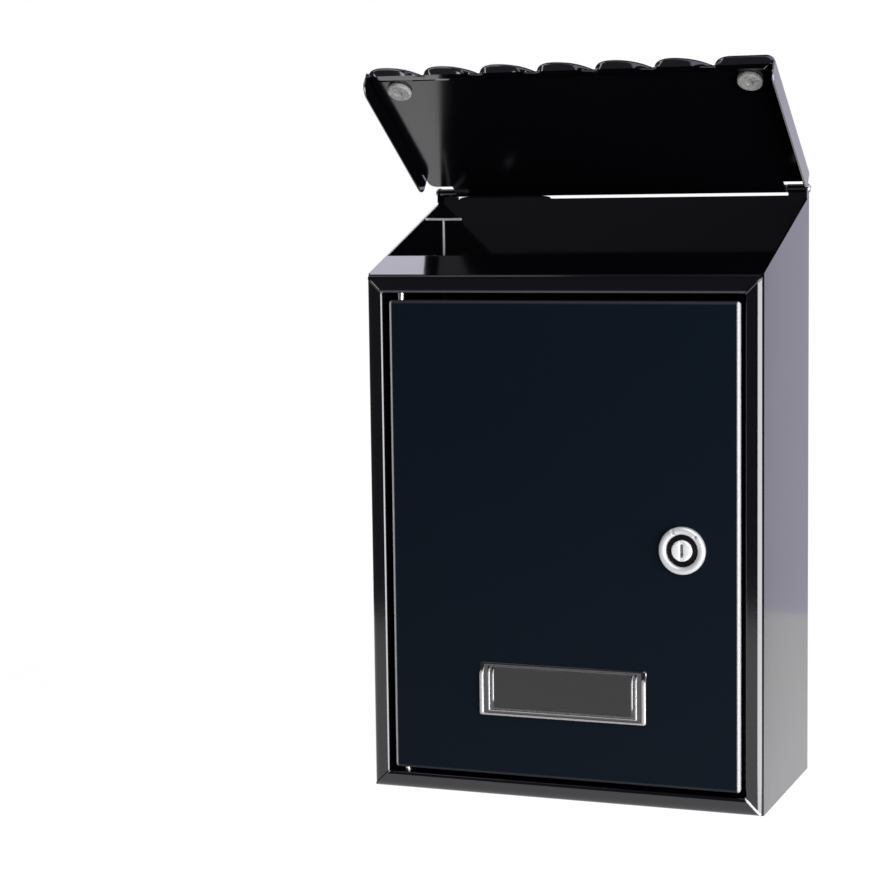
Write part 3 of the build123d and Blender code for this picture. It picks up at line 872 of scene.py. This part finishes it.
class MAILBOX_OT_seams(bpy.types.Operator):
    """Run beads along the frame's mitres and in the back corner, some pale as painted highlights, and put the
    strip on the back's edge.
    """

    bl_idname = "mailbox.seams"
    bl_label = "Run the seams"

    def execute(self, context):
        seams = context.scene.mailbox_seams
        r = seams.radius
        pale, black = bpy.data.materials["painted_seam_highlight"], bpy.data.materials["gloss_black"]
        upright, forward = (0, 0, 1), (0, 1, 0)
        # Only the lower right mitre's bead is pale, as a painted highlight; the other three are black.
        mitres = (
            ("mitre_seam_low_right", 1, False, pale, "bright_steel"),
            ("mitre_seam_low_left", -1, False, black, "black_paint"),
            ("mitre_seam_top_left", -1, True, black, "black_paint"),
            ("mitre_seam_top_right", 1, True, black, "black_paint"),
        )
        pieces = [
            (name, bead_grid(mitre_path(seams, side, top), forward, r, r, r), look, slot)
            for name, side, top, look, slot in mitres
        ]
        inset, corner_length, corner_r = SHEET + 0.0006, 0.024, 1.3 * r
        x, y, z = LEFT_SIDE + inset, -inset, seams.tack_height
        corner = np.linspace((x, y, z - corner_length), (x, y, z), 40)
        tack = line((x, y - seams.tack_side), (x, y), (x + seams.tack_back, y), count=24)
        tack = np.column_stack([tack, np.full(len(tack), z)])
        start, end = seams.strip_ends
        strip_y, strip_z = -0.00052, seams.edge + 0.00075
        strip_wide, strip_tall, strip_closing = 0.0005, 0.0013, 0.006
        strip = np.linspace((start, strip_y, strip_z), (end, strip_y, strip_z), 60)
        strip = bead_grid(strip, upright, strip_wide, strip_tall, strip_closing)
        # The back corner's bead and tack are pale: a painted highlight along the corner's fold and the
        # flange's edge.
        pieces += [
            ("back_corner_seam", bead_grid(corner, forward, corner_r, corner_r, r), pale, "bright_steel"),
            ("back_corner_tack", bead_grid(tack, upright, r, r, r), pale, "bright_steel"),
            ("back_edge_strip", strip, black, "black_paint"),
        ]
        for name, grid, look, slot in pieces:
            piece = surface(name, grid, look, poles=True)
            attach(piece, "box")
        return {"FINISHED"}


def lock_centre():
    """Return the point where the lock's axis meets the door's front."""
    return np.array([(LOCK_LOW[0] + LOCK_HIGH[0]) / 2, DOOR_FRONT, (LOCK_LOW[2] + LOCK_HIGH[2]) / 2])


def lock_grid(lock, columns=240):
    """Lock as a closed profile turned about its axis. The ring's crown stands on a foot and rises by a power
    of sin t, with t from pi to 0 across the ring. A notch brings it down to a level, by e to the minus sixth
    power of the angle from the notch, and a dot takes a depth off it in the same way by the distance from a
    point. The barrel's radius saws up and down with its thread, which climbs a pitch a turn, and is cut off
    at its flats."""
    ring = (LOCK_HIGH[0] - LOCK_LOW[0]) / 2
    rise, reach = DOOR_FRONT - LOCK_LOW[1], DOOR_FRONT - LOCK_HIGH[1]
    pocket, bore, floor = lock.pocket_radius, lock.bore_radius, lock.pocket_floor
    foot, notch_level, dot_depth = 0.5 * rise, 0.46 * rise, 0.6 * rise
    notch_half, dot_radius = 0.06, 0.00085
    fillet, ease, overlap, chamfer = 0.0003, 0.0002, 0.0001, 0.0006
    turn = np.linspace(pi, 0, 49)
    middle, half = (ring + pocket) / 2, (ring - pocket) / 2
    inside = line((bore, reach), (bore, floor), (pocket - fillet, floor), (pocket, floor + fillet), count=8)
    crown = np.stack([middle + half * np.cos(turn), foot + (rise - foot) * np.sin(turn) ** 0.8], 1)
    back = line((ring, ease), (ring - ease, 0), (lock.barrel_radius, 0), count=4)
    barrel = line((lock.barrel_radius, -overlap), (lock.barrel_radius, reach + chamfer), count=140)
    end = line((lock.barrel_radius - chamfer, reach), (bore + fillet, reach), count=3)
    profile = np.vstack([inside, crown, back, barrel, end])
    angle = np.linspace(0, 2 * pi, columns, endpoint=False)
    radius = np.repeat(profile[:, :1], columns, 1)
    height = np.repeat(profile[:, 1:], columns, 1)
    rows = slice(len(inside), len(inside) + len(crown))
    apart = np.angle(np.exp(1j * (angle - lock.notch_angle)))
    height[rows] += (notch_level - height[rows]) * np.exp(-((apart / notch_half) ** 6))
    away = np.abs(radius[rows] * np.exp(1j * angle) - middle * np.exp(1j * lock.dot_angle))
    height[rows] -= dot_depth * np.exp(-((away / dot_radius) ** 6))
    rows = slice(rows.stop + len(back), len(profile) - len(end))
    saw = np.abs(2 * ((height[rows] / lock.thread_pitch + angle / (2 * pi)) % 1) - 1)
    radius[rows] -= lock.thread_depth * saw
    rows = slice(rows.start - 1, len(profile))
    flats = lock.barrel_flats / 2 / np.maximum(np.abs(np.cos(angle)), 1e-6)
    radius[rows] = np.minimum(radius[rows], flats)
    return turned(radius, height, lock_centre(), (0, -1, 0))


def recess_grid(lock, columns=96):
    """Black washer in the lock's recess: a closed profile, whose top is grooved by the square of a cosine,
    turned about the lock's axis."""
    thick, groove, play, ease, edge = 0.0005, 0.00015, 0.00005, 0.0001, 0.0003
    low, high = lock.pocket_floor, lock.pocket_floor + thick
    outer, inner = lock.pocket_radius - play, 0.0054
    across = np.linspace(outer - ease, inner + ease, 40)
    share = (across - inner) / (outer - inner)
    top = np.stack([across, high - groove * np.cos(4 * pi * share) ** 2], 1)
    rest = line((inner, high - edge), (inner, low), (outer, low), (outer, high - edge))
    return lathe(np.vstack([rest, top]), lock_centre(), (0, -1, 0), columns)


def cheek_grid(lock, side, rows=24, columns=40):
    """Raised cheek beside the keyway. It runs across from the keyway to a circle, a = (1 - cos c) / 2, at
    each height z, and stands up by the root of sin c, less towards its two tips; its back is flat."""
    sunk, tips = 0.00005, 0.97
    tip = np.linspace(-tips, tips, rows)[:, None]
    turn = np.linspace(0, 2 * pi, columns, endpoint=False)[None, :]
    reach = np.sqrt(lock.cheek_radius**2 - lock.keyway_half**2)
    z = reach * tip + 0 * turn
    share = (1 - np.cos(turn)) / 2
    x = lock.keyway_half + (np.sqrt(lock.cheek_radius**2 - z**2) - lock.keyway_half) * share
    swell = np.sqrt(np.clip(np.sin(turn), 0, 1)) * np.sqrt(1 - tip**4)
    height = np.where(turn > pi, -sunk, lock.cheek_height * swell)
    centre = lock_centre()
    return np.stack([centre[0] + side * x, PLUG_FRONT - height, centre[2] + z], -1)


class MAILBOX_OT_lock(bpy.types.Operator):
    """Turn the lock's ring and barrel, and add the recess and the keyway's cheeks."""

    bl_idname = "mailbox.lock"
    bl_label = "Turn the lock"

    def execute(self, context):
        lock = context.scene.mailbox_lock
        looks = bpy.data.materials
        body = surface("lock_ring_and_barrel", lock_grid(lock), looks["frosted_chrome"], ring=True)
        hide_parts("lock_housing")
        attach(body, "door")
        recess = surface("lock_recess", recess_grid(lock), looks["recess_black"], ring=True)
        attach(recess, "door")
        for name, side in (("left", -1), ("right", 1)):
            cheek = surface("keyway_cheek_" + name, cheek_grid(lock, side), looks["satin_nickel"], poles=True)
            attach(cheek, "lock")
        return {"FINISHED"}


def round_frame(half_x, low_z, high_z, corner, corner_steps=8, side_steps=30):
    """Rounded rectangles, one for each row of sizes: corner arcs, joined by evenly spaced points."""
    turn = np.linspace(0, pi / 2, corner_steps)
    turn = np.concatenate([turn + k * pi / 2 for k in range(4)])
    sign_x = np.repeat([1, -1, -1, 1], corner_steps)
    sign_z = np.repeat([1, 1, -1, -1], corner_steps)
    half_x, low_z, high_z, corner = (v[:, None] for v in (half_x, low_z, high_z, corner))
    x = sign_x * (half_x - corner) + corner * np.cos(turn)
    z = np.where(sign_z > 0, high_z - corner, low_z + corner) + corner * np.sin(turn)
    count = len(turn)
    spot = np.concatenate([
        np.concatenate([
            np.arange(k * corner_steps, (k + 1) * corner_steps - 1),
            (k + 1) * corner_steps - 1 + np.linspace(0, 1, side_steps, endpoint=False),
        ])
        for k in range(4)
    ])
    low = np.floor(spot).astype(int)
    share = spot - low
    near, far = low % count, (low + 1) % count
    return x[:, near] * (1 - share) + x[:, far] * share, z[:, near] * (1 - share) + z[:, far] * share


def holder_grid(holder):
    """Moulded frame: rounded rectangles that shrink inwards by a share t, each at a base height plus three
    half-round beads; the beads are pressed flat along the head, and the inmost ends above the foot. A flat
    back with a step for the card closes it."""
    base, head_height = 0.001, 0.00128
    beads = (  # place, half width and height, the first two as shares of the frame's width
        (0.16, 0.16, DOOR_FRONT - HOLDER_LOW[1] - base), (0.655, 0.085, 0.00095), (0.915, 0.085, 0.0007),
    )
    closing = np.array([  # share and height down the window's edge and along the back
        (1, 0.00135), (1, 0.0013), (1, 0.00126), (1, holder.pocket),
        (0.82, holder.pocket), (0.82, 0.0006), (0.8, 0), (0.4, 0),
    ])
    share = np.concatenate([np.linspace(0, 0.006, 4), np.linspace(0.01, 1, 90), closing[:, 0]])
    rounds = [
        top * np.sqrt(np.clip(1 - ((share - place) / wide) ** 2, 0, None)) for place, wide, top in beads
    ]
    height = base + sum(rounds)
    height[:4] = np.linspace(0, 0.0009, 4)
    height[-len(closing):] = closing[:, 1]
    corner = np.maximum(0.0012 * (1 - 1.6 * share), 0.0003)
    half = HOLDER_HIGH[0] - holder.side_width * share
    low, high = HOLDER_LOW[2] + holder.foot_width * share, HOLDER_HIGH[2] - holder.head_width * share
    x, z = round_frame(half, low, high, corner)
    head = np.clip((z - HOLDER_HIGH[2] + 0.006) / 0.004, 0, 1)
    foot = np.clip((HOLDER_LOW[2] + 0.008 - z) / 0.003, 0, 1)
    flat = np.minimum(height, head_height * np.sqrt(np.clip(share / 0.5, 0, 1)))[:, None]
    height = (height[:, None] - rounds[2][:, None] * foot) * (1 - head) + flat * head
    return np.stack([x, DOOR_FRONT - height, z], -1)


def peg_grid(holder, side, columns=40):
    """Peg's head behind the door: a quarter round edge and a flat top, turned about the peg."""
    edge_radius, hub, sunk = 0.0006, 0.0003, 0.0001
    high = HOLDER_HIGH[1] - DOOR_BACK
    centre = np.array([side * holder.peg_place, DOOR_BACK, (HOLDER_LOW[2] + HOLDER_HIGH[2]) / 2])
    turn = np.linspace(0, pi / 2, 10)
    radius = holder.peg_radius - edge_radius * (1 - np.cos(turn))
    edge = np.stack([radius, high - edge_radius * (1 - np.sin(turn))], 1)
    foot = line((hub, -sunk), (holder.peg_radius, -sunk))
    return lathe(np.vstack([foot, edge, [(hub, high)]]), centre, (0, 1, 0), columns)


class MAILBOX_OT_holder(bpy.types.Operator):
    """Mould the name holder's frame and the heads of its pegs."""

    bl_idname = "mailbox.holder"
    bl_label = "Mould the name holder"

    def execute(self, context):
        holder = context.scene.mailbox_holder
        plastic, dull = bpy.data.materials["holder_black"], bpy.data.materials["recess_black"]
        frame_piece = surface("name_frame", holder_grid(holder), plastic, ring=True)
        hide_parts("name_holder")
        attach(frame_piece, "door")
        for name, side in (("left", -1), ("right", 1)):
            peg = surface("peg_head_" + name, peg_grid(holder, side), dull, poles=True)
            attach(peg, "door")
        return {"FINISHED"}


def lid_axes(lid):
    """Return the lid's hinge point, its direction away from the hinge and its upward direction."""
    along = np.array([0, -cos(lid.tilt), sin(lid.tilt)])
    up = np.array([0, sin(lid.tilt), cos(lid.tilt)])
    return np.array(HINGE["pos_m"], float), along, up


def bumper_grid(lid, side, columns=64):
    """Rubber bumper turned about its stud: a dished face, a quarter round rim, and the stud's head above."""
    hinge, along, up = lid_axes(lid)
    centre = hinge + lid.bumper_reach * along + side * np.array([lid.bumper_side, 0, 0]) - lid.plate * up
    big, tall, rim_radius, ease = lid.bumper_radius, lid.bumper_height, 0.0009, 0.0002
    face = line(
        (0.0004, 0.0006 - tall), (0.0014, 0.00045 - tall), (0.0019, 0.0001 - tall), (0.0023, -tall), count=4
    )
    turn = np.linspace(0, pi / 2, 9)
    rim = np.stack([big - rim_radius * (1 - np.sin(turn)), rim_radius * (1 - np.cos(turn)) - tall], 1)
    stud = line(
        (big, -ease), (big - ease, 0), (0.002, 0), (0.002, 0.0008), (0.0029, 0.0008), (0.0029, 0.0018),
        (0.0025, 0.0022), (0.0003, 0.0022), count=3,
    )
    return lathe(np.vstack([face, rim, stud]), centre, up, columns)


def tile_line(lid, half):
    """Cross-section of the roof from the left skirt's foot, over the tiles, to the right skirt's foot, as x
    and height over the hinge. Across each tile, with s from 0 to 1, it climbs a quarter of a rounded ellipse
    to the crest and then sinks by a power of s; the last tile stays high and ends in a round shoulder."""
    crowding, climb_power, sink_power, gap = 1.4, 2.4, 1.9, 0.0002
    s = np.linspace(0, 1, 46, endpoint=False) ** crowding
    climb = np.sqrt(1 - np.clip((lid.crest - s) / lid.crest, 0, 1) ** climb_power)
    sink = np.clip((s - lid.crest) / (1 - lid.crest), 0, 1) ** sink_power
    x = (np.arange(lid.tiles)[:, None] + s) * (2 * half / lid.tiles) - half
    w = lid.tile_rise * np.repeat((climb - sink)[None, :], lid.tiles, 0) - lid.valley
    w[-1] = lid.tile_rise * climb - lid.valley
    over = np.linspace(0, pi / 2, 16)
    round_x = half - lid.end_round * (1 - np.sin(over))
    round_w = lid.tile_rise - lid.valley - lid.end_round * (1 - np.cos(over))
    x, w = x.ravel(), w.ravel()
    keep = x < half - lid.end_round - gap
    left = np.concatenate([
        np.linspace(-lid.skirt, -lid.hem, 10), np.linspace(-lid.hem, -lid.valley, 6)[1:-1],
    ])
    right = np.concatenate([
        np.linspace(round_w[-1], -lid.hem, 6)[1:], np.linspace(-lid.hem, -lid.skirt, 10)[1:],
    ])
    x = np.concatenate([np.full(len(left), -half), x[keep], round_x, np.full(len(right), half)])
    return x, np.concatenate([left, w[keep], round_w, right])


def roof_grid(lid, half):
    """Tile roof: rows carry the cross-section from the back to the front, roll it inwards over a round nose,
    run down the front wall in straight lines to the hem, and fold under. The nose's radius and the front's
    set back follow the height of the tile. The skirts' feet are lifted to a quarter circle at both ends."""
    skirt_nose, set_back_power, tiny = 0.0006, 1.5, 1e-6
    mouth, fold_end, fold_fade = half - 0.0012, 0.001, 0.004
    x, w = tile_line(lid, half)
    way = np.stack([np.gradient(x), np.gradient(w)])
    way /= np.linalg.norm(way, axis=0)
    inward = np.stack([way[1], -way[0]])
    high = np.clip((w + lid.valley) / lid.tile_rise, 0, 1)
    tiled = (w > -lid.valley - tiny) & (np.abs(x) < half - tiny)
    nose = np.where(tiled, lid.nose_valley + (lid.nose - lid.nose_valley) * high, skirt_nose)
    set_back = lid.set_back * (1 - high) ** set_back_power
    tip = lid.roof_front - np.where(tiled & (x < half - lid.end_round), set_back, 0)
    run = (1 - np.cos(np.linspace(0, pi, 30)))[:, None] / 2
    bend = np.linspace(0, pi / 2, 10)[1:, None]
    u = np.vstack([
        lid.roof_back + run * (tip - nose - lid.roof_back), tip - nose * (1 - np.sin(bend)),
    ])
    inset = np.vstack([0 * run * nose, nose * (1 - np.cos(bend))])
    back = np.clip(lid.skirt_back_corner - (u - lid.roof_back), 0, None)
    front = np.clip(lid.skirt_front_corner - (lid.roof_front - u), 0, None)
    lift = lid.skirt_back_corner - np.sqrt(lid.skirt_back_corner**2 - back**2)
    lift += lid.skirt_front_corner - np.sqrt(lid.skirt_front_corner**2 - front**2)
    drop = np.clip(-lid.hem - w, 0, None) * (1 - lift / (lid.skirt - lid.hem))
    level = np.maximum(w, -lid.hem) - drop
    x, w = x + inset * inward[0], level + inset * inward[1]
    above = w[-1] > -lid.hem + tiny
    length = np.concatenate([[0], np.cumsum(np.hypot(np.diff(x[-1]), np.diff(w[-1])) * above[1:])])
    hem_x = np.where(above, mouth * (2 * length / length[-1] - 1), x[-1])
    hem_w = np.minimum(w[-1], -lid.hem)
    down = np.linspace(0, 1, 7)[1:, None]
    fold = np.linspace(0, 1, 4)[1:, None]
    fade = np.where(above, np.clip((mouth - fold_end - np.abs(hem_x)) / fold_fade, 0, 1), 0)
    x = np.vstack([x, x[-1] + (hem_x - x[-1]) * down, hem_x + 0 * fold])
    w = np.vstack([w, w[-1] + (hem_w - w[-1]) * down, hem_w + 0 * fold])
    u = np.vstack([u, u[-1] + (lid.roof_front - u[-1]) * down, lid.roof_front - lid.hem_return * fold * fade])
    hinge, along, up = lid_axes(lid)
    side = np.array([1.0, 0, 0])
    return hinge + x[..., None] * side + u[..., None] * along + w[..., None] * up


class MAILBOX_OT_roof(bpy.types.Operator):
    """Press the lid's tile roof."""

    bl_idname = "mailbox.roof"
    bl_label = "Press the tile roof"

    def execute(self, context):
        lid = context.scene.mailbox_lid
        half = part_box("lid_tile_roof")[1][0]
        roof = sheet("tile_roof", roof_grid(lid, half), bpy.data.materials["roof_black"])
        merged = bmesh.new()
        merged.from_mesh(roof.data)
        bmesh.ops.remove_doubles(merged, verts=merged.verts, dist=1e-7)
        merged.to_mesh(roof.data)
        merged.free()
        smooth(roof)
        wall = roof.modifiers.new("sheet", "SOLIDIFY")
        wall.thickness = lid.sheet
        wall.offset = -1.0
        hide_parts("lid_tile_roof")
        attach(roof, "lid")
        return {"FINISHED"}


class MAILBOX_OT_bumpers(bpy.types.Operator):
    """Turn the lid's two rubber bumpers."""

    bl_idname = "mailbox.bumpers"
    bl_label = "Turn the bumpers"

    def execute(self, context):
        lid, rubber = context.scene.mailbox_lid, bpy.data.materials["bumper_grey"]
        for name, side in (("left", -1), ("right", 1)):
            pad = surface("bumper_pad_" + name, bumper_grid(lid, side), rubber, poles=True)
            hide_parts("lid_bumper_" + name)
            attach(pad, "lid")
        return {"FINISHED"}


def add_camera(stage):
    """Camera whose axes follow yaw, pitch and roll, with its picture shifted to the middle column."""
    ahead = Vector((sin(stage.yaw) * cos(stage.pitch), cos(stage.yaw) * cos(stage.pitch), sin(stage.pitch)))
    right = Vector((cos(stage.yaw), -sin(stage.yaw), 0))
    up = right.cross(ahead)
    right, up = (
        cos(stage.roll) * right + sin(stage.roll) * up,
        cos(stage.roll) * up - sin(stage.roll) * right,
    )
    data = bpy.data.cameras.new("camera")
    data.sensor_width = 36.0
    data.lens = data.sensor_width * stage.focal_pixels / PHOTO_SIDE
    data.shift_x = (PHOTO_SIDE / 2 - stage.middle_x) / PHOTO_SIDE
    data.clip_start = 0.05
    camera = bpy.data.objects.new("camera", data)
    turn = Matrix((right, up, -ahead)).transposed().to_4x4()
    camera.matrix_world = Matrix.Translation(Vector(stage.camera_place)) @ turn
    bpy.context.scene.collection.objects.link(camera)
    bpy.context.scene.camera = camera


def add_soft_box(name, bearing, height, far, size, brightness, colour, target):
    """Area lamp at a bearing from straight ahead of the box, turned to the right, that faces a target.
    Its brightness is even; pi times its area gives the power."""
    data = bpy.data.lights.new(name, "AREA")
    data.shape = "RECTANGLE"
    data.size, data.size_y = size
    data.energy = brightness * pi * size[0] * size[1]
    data.color = colour
    lamp = bpy.data.objects.new(name, data)
    lamp.location = target + Vector((far * sin(radians(bearing)), -far * cos(radians(bearing)), height))
    lamp.rotation_euler = (target - lamp.location).to_track_quat("-Z", "Y").to_euler()
    lamp.visible_camera = False
    bpy.context.scene.collection.objects.link(lamp)


def cloth_screen(name, bearings, far, low, high, material):
    """Cloth screen, an upright curved wall that leans in: rows of points at bearings from straight ahead and
    at a far distance, from a low height to elevations spread evenly from the first bearing to the last. Above
    its lean it comes no nearer than a ball."""
    columns, rows, lean = 25, 13, radians(45)
    bearing = np.radians(np.linspace(*bearings, columns))[None, :]
    spread = np.interp(np.linspace(0, 1, columns), np.linspace(0, 1, len(high)), high)
    lowest = np.arctan2(low, far)
    elevation = lowest + (np.radians(spread)[None, :] - lowest) * np.linspace(0, 1, rows)[:, None]
    radius = far / np.maximum(np.cos(elevation), cos(lean))
    out = radius * np.cos(elevation)
    grid = np.stack([out * np.sin(bearing), -out * np.cos(bearing), radius * np.sin(elevation)], -1)
    screen = sheet(name, grid, material)
    screen.visible_camera = False


def seen_level(tree, far, near):
    """Return a level that is near to the camera, in reflections and through glass, and far otherwise."""
    path = tree.nodes.new("ShaderNodeLightPath")
    seen = path.outputs["Is Camera Ray"]
    for kind in ("Is Glossy Ray", "Is Transmission Ray"):
        seen = sums(tree, "MAXIMUM", seen, path.outputs[kind])
    return sums(tree, "MULTIPLY_ADD", seen, near - far, far)


def white_world(fill):
    """World that is white to the camera, a pale lilac in reflections, and dimmer as fill light."""
    world = bpy.data.worlds.new("studio")
    bpy.context.scene.world = world
    world.use_nodes = True
    tree = world.node_tree
    back = tree.nodes["Background"]
    direct = tree.nodes.new("ShaderNodeLightPath").outputs["Is Camera Ray"]
    white, lilac = (1, 1, 1, 1), (0.82, 0.79, 0.96, 1)
    tree.links.new(blend_colour(tree, direct, lilac, white), back.inputs["Color"])
    tree.links.new(seen_level(tree, far=fill, near=1.0), back.inputs["Strength"])


class MAILBOX_OT_stage(bpy.types.Operator):
    """Set the camera, the floor, the screens and the studio light."""

    bl_idname = "mailbox.stage"
    bl_label = "Set the studio"

    def execute(self, context):
        stage = context.scene.mailbox_stage
        context.scene.view_settings.view_transform = "Standard"
        add_camera(stage)
        white_world(stage.fill)
        floor_z, floor_back, floor_half, screen_far = BOX_FOOT - stage.floor_drop, 3.4, 5, 3.65
        pale, shader, _ = start_material(
            "pale_floor", Base_Color=(0.25, 0.25, 0.25, 1), Roughness=1.0, Specular_IOR_Level=0.0,
            Emission_Color=(1, 1, 1, 1),
        )
        glow = seen_level(pale.node_tree, far=0.2, near=0.94)
        pale.node_tree.links.new(glow, shader.inputs["Emission Strength"])
        y, x = np.meshgrid((floor_back, 0, -screen_far), (-floor_half, 0, floor_half), indexing="ij")
        sheet("floor", np.stack([x, y, np.full(x.shape, floor_z)], -1), pale)
        dark, *_ = start_material("dark_cloth", Base_Color=(0.02, 0.02, 0.022, 1), Roughness=1.0)
        grey, *_ = start_material("grey_cloth", Base_Color=(0.25, 0.25, 0.27, 1), Roughness=1.0)
        screens = (  # bearings in degrees, distance, lowest height, elevations of the top in degrees
            ("grey_front", (30, -135), screen_far, floor_z, (60, 74, 78, 78, 62), grey),
            ("dark_right", (104, 157), 0.9, -0.6, (35, 35), dark),
            ("dark_back", (174, 240), 1.3, 0.1, (80, 80), dark),
        )
        for screen in screens:
            cloth_screen(*screen)
        white, lilac = (1, 1, 1), (0.88, 0.86, 1)
        boxes = (  # bearing in degrees, height, distance, width and length, brightness, colour
            ("right_box", 62, -0.22, 1.5, (2.0, 0.74), stage.side_light, white),
            ("front_box", 18, 1.6, 1.5, (1.0, 1.0), stage.front_light, white),
            ("top_box", 210.5, 0.87, 1.05, (0.39, 0.36), stage.top_light, lilac),
            ("strip_box", -80.5, 1.5, 0.91, (0.2, 0.8), stage.strip_light, white),
        )
        for box in boxes:
            add_soft_box(*box, target=Vector((0.0, -0.05, 0.0)))
        return {"FINISHED"}


class MAILBOX_PT_panel(bpy.types.Panel):
    """The mailbox's steps and settings."""

    bl_idname = "MAILBOX_PT_panel"
    bl_label = "Mailbox"
    bl_space_type = "VIEW_3D"
    bl_region_type = "UI"
    bl_category = "Mailbox"

    def draw(self, context):
        for job in JOBS:
            self.layout.operator(job.bl_idname)
        for name in SETTINGS:
            group = getattr(context.scene, name)
            box = self.layout.box()
            for key in group.__annotations__:
                box.prop(group, key)


SETTINGS = {
    "mailbox_paint": MailboxPaint,
    "mailbox_seams": MailboxSeams,
    "mailbox_lock": MailboxLock,
    "mailbox_holder": MailboxHolder,
    "mailbox_lid": MailboxLid,
    "mailbox_stage": MailboxStage,
}
JOBS = (
    MAILBOX_OT_body, MAILBOX_OT_fittings, MAILBOX_OT_seams, MAILBOX_OT_lock, MAILBOX_OT_holder,
    MAILBOX_OT_roof, MAILBOX_OT_bumpers, MAILBOX_OT_stage,
)
CLASSES = (*SETTINGS.values(), *JOBS, MAILBOX_PT_panel)


def register():
    for cls in CLASSES:
        bpy.utils.register_class(cls)
    for name, cls in SETTINGS.items():
        setattr(bpy.types.Scene, name, bpy.props.PointerProperty(type=cls))


def unregister():
    for name in SETTINGS:
        delattr(bpy.types.Scene, name)
    for cls in reversed(CLASSES):
        bpy.utils.unregister_class(cls)


def main():
    register()
    bpy.ops.mailbox.body()
    bpy.ops.mailbox.fittings()
    bpy.ops.mailbox.seams()
    bpy.ops.mailbox.lock()
    bpy.ops.mailbox.holder()
    bpy.ops.mailbox.roof()
    bpy.ops.mailbox.bumpers()
    bpy.ops.mailbox.stage()


if __name__ == "__main__":
    main()
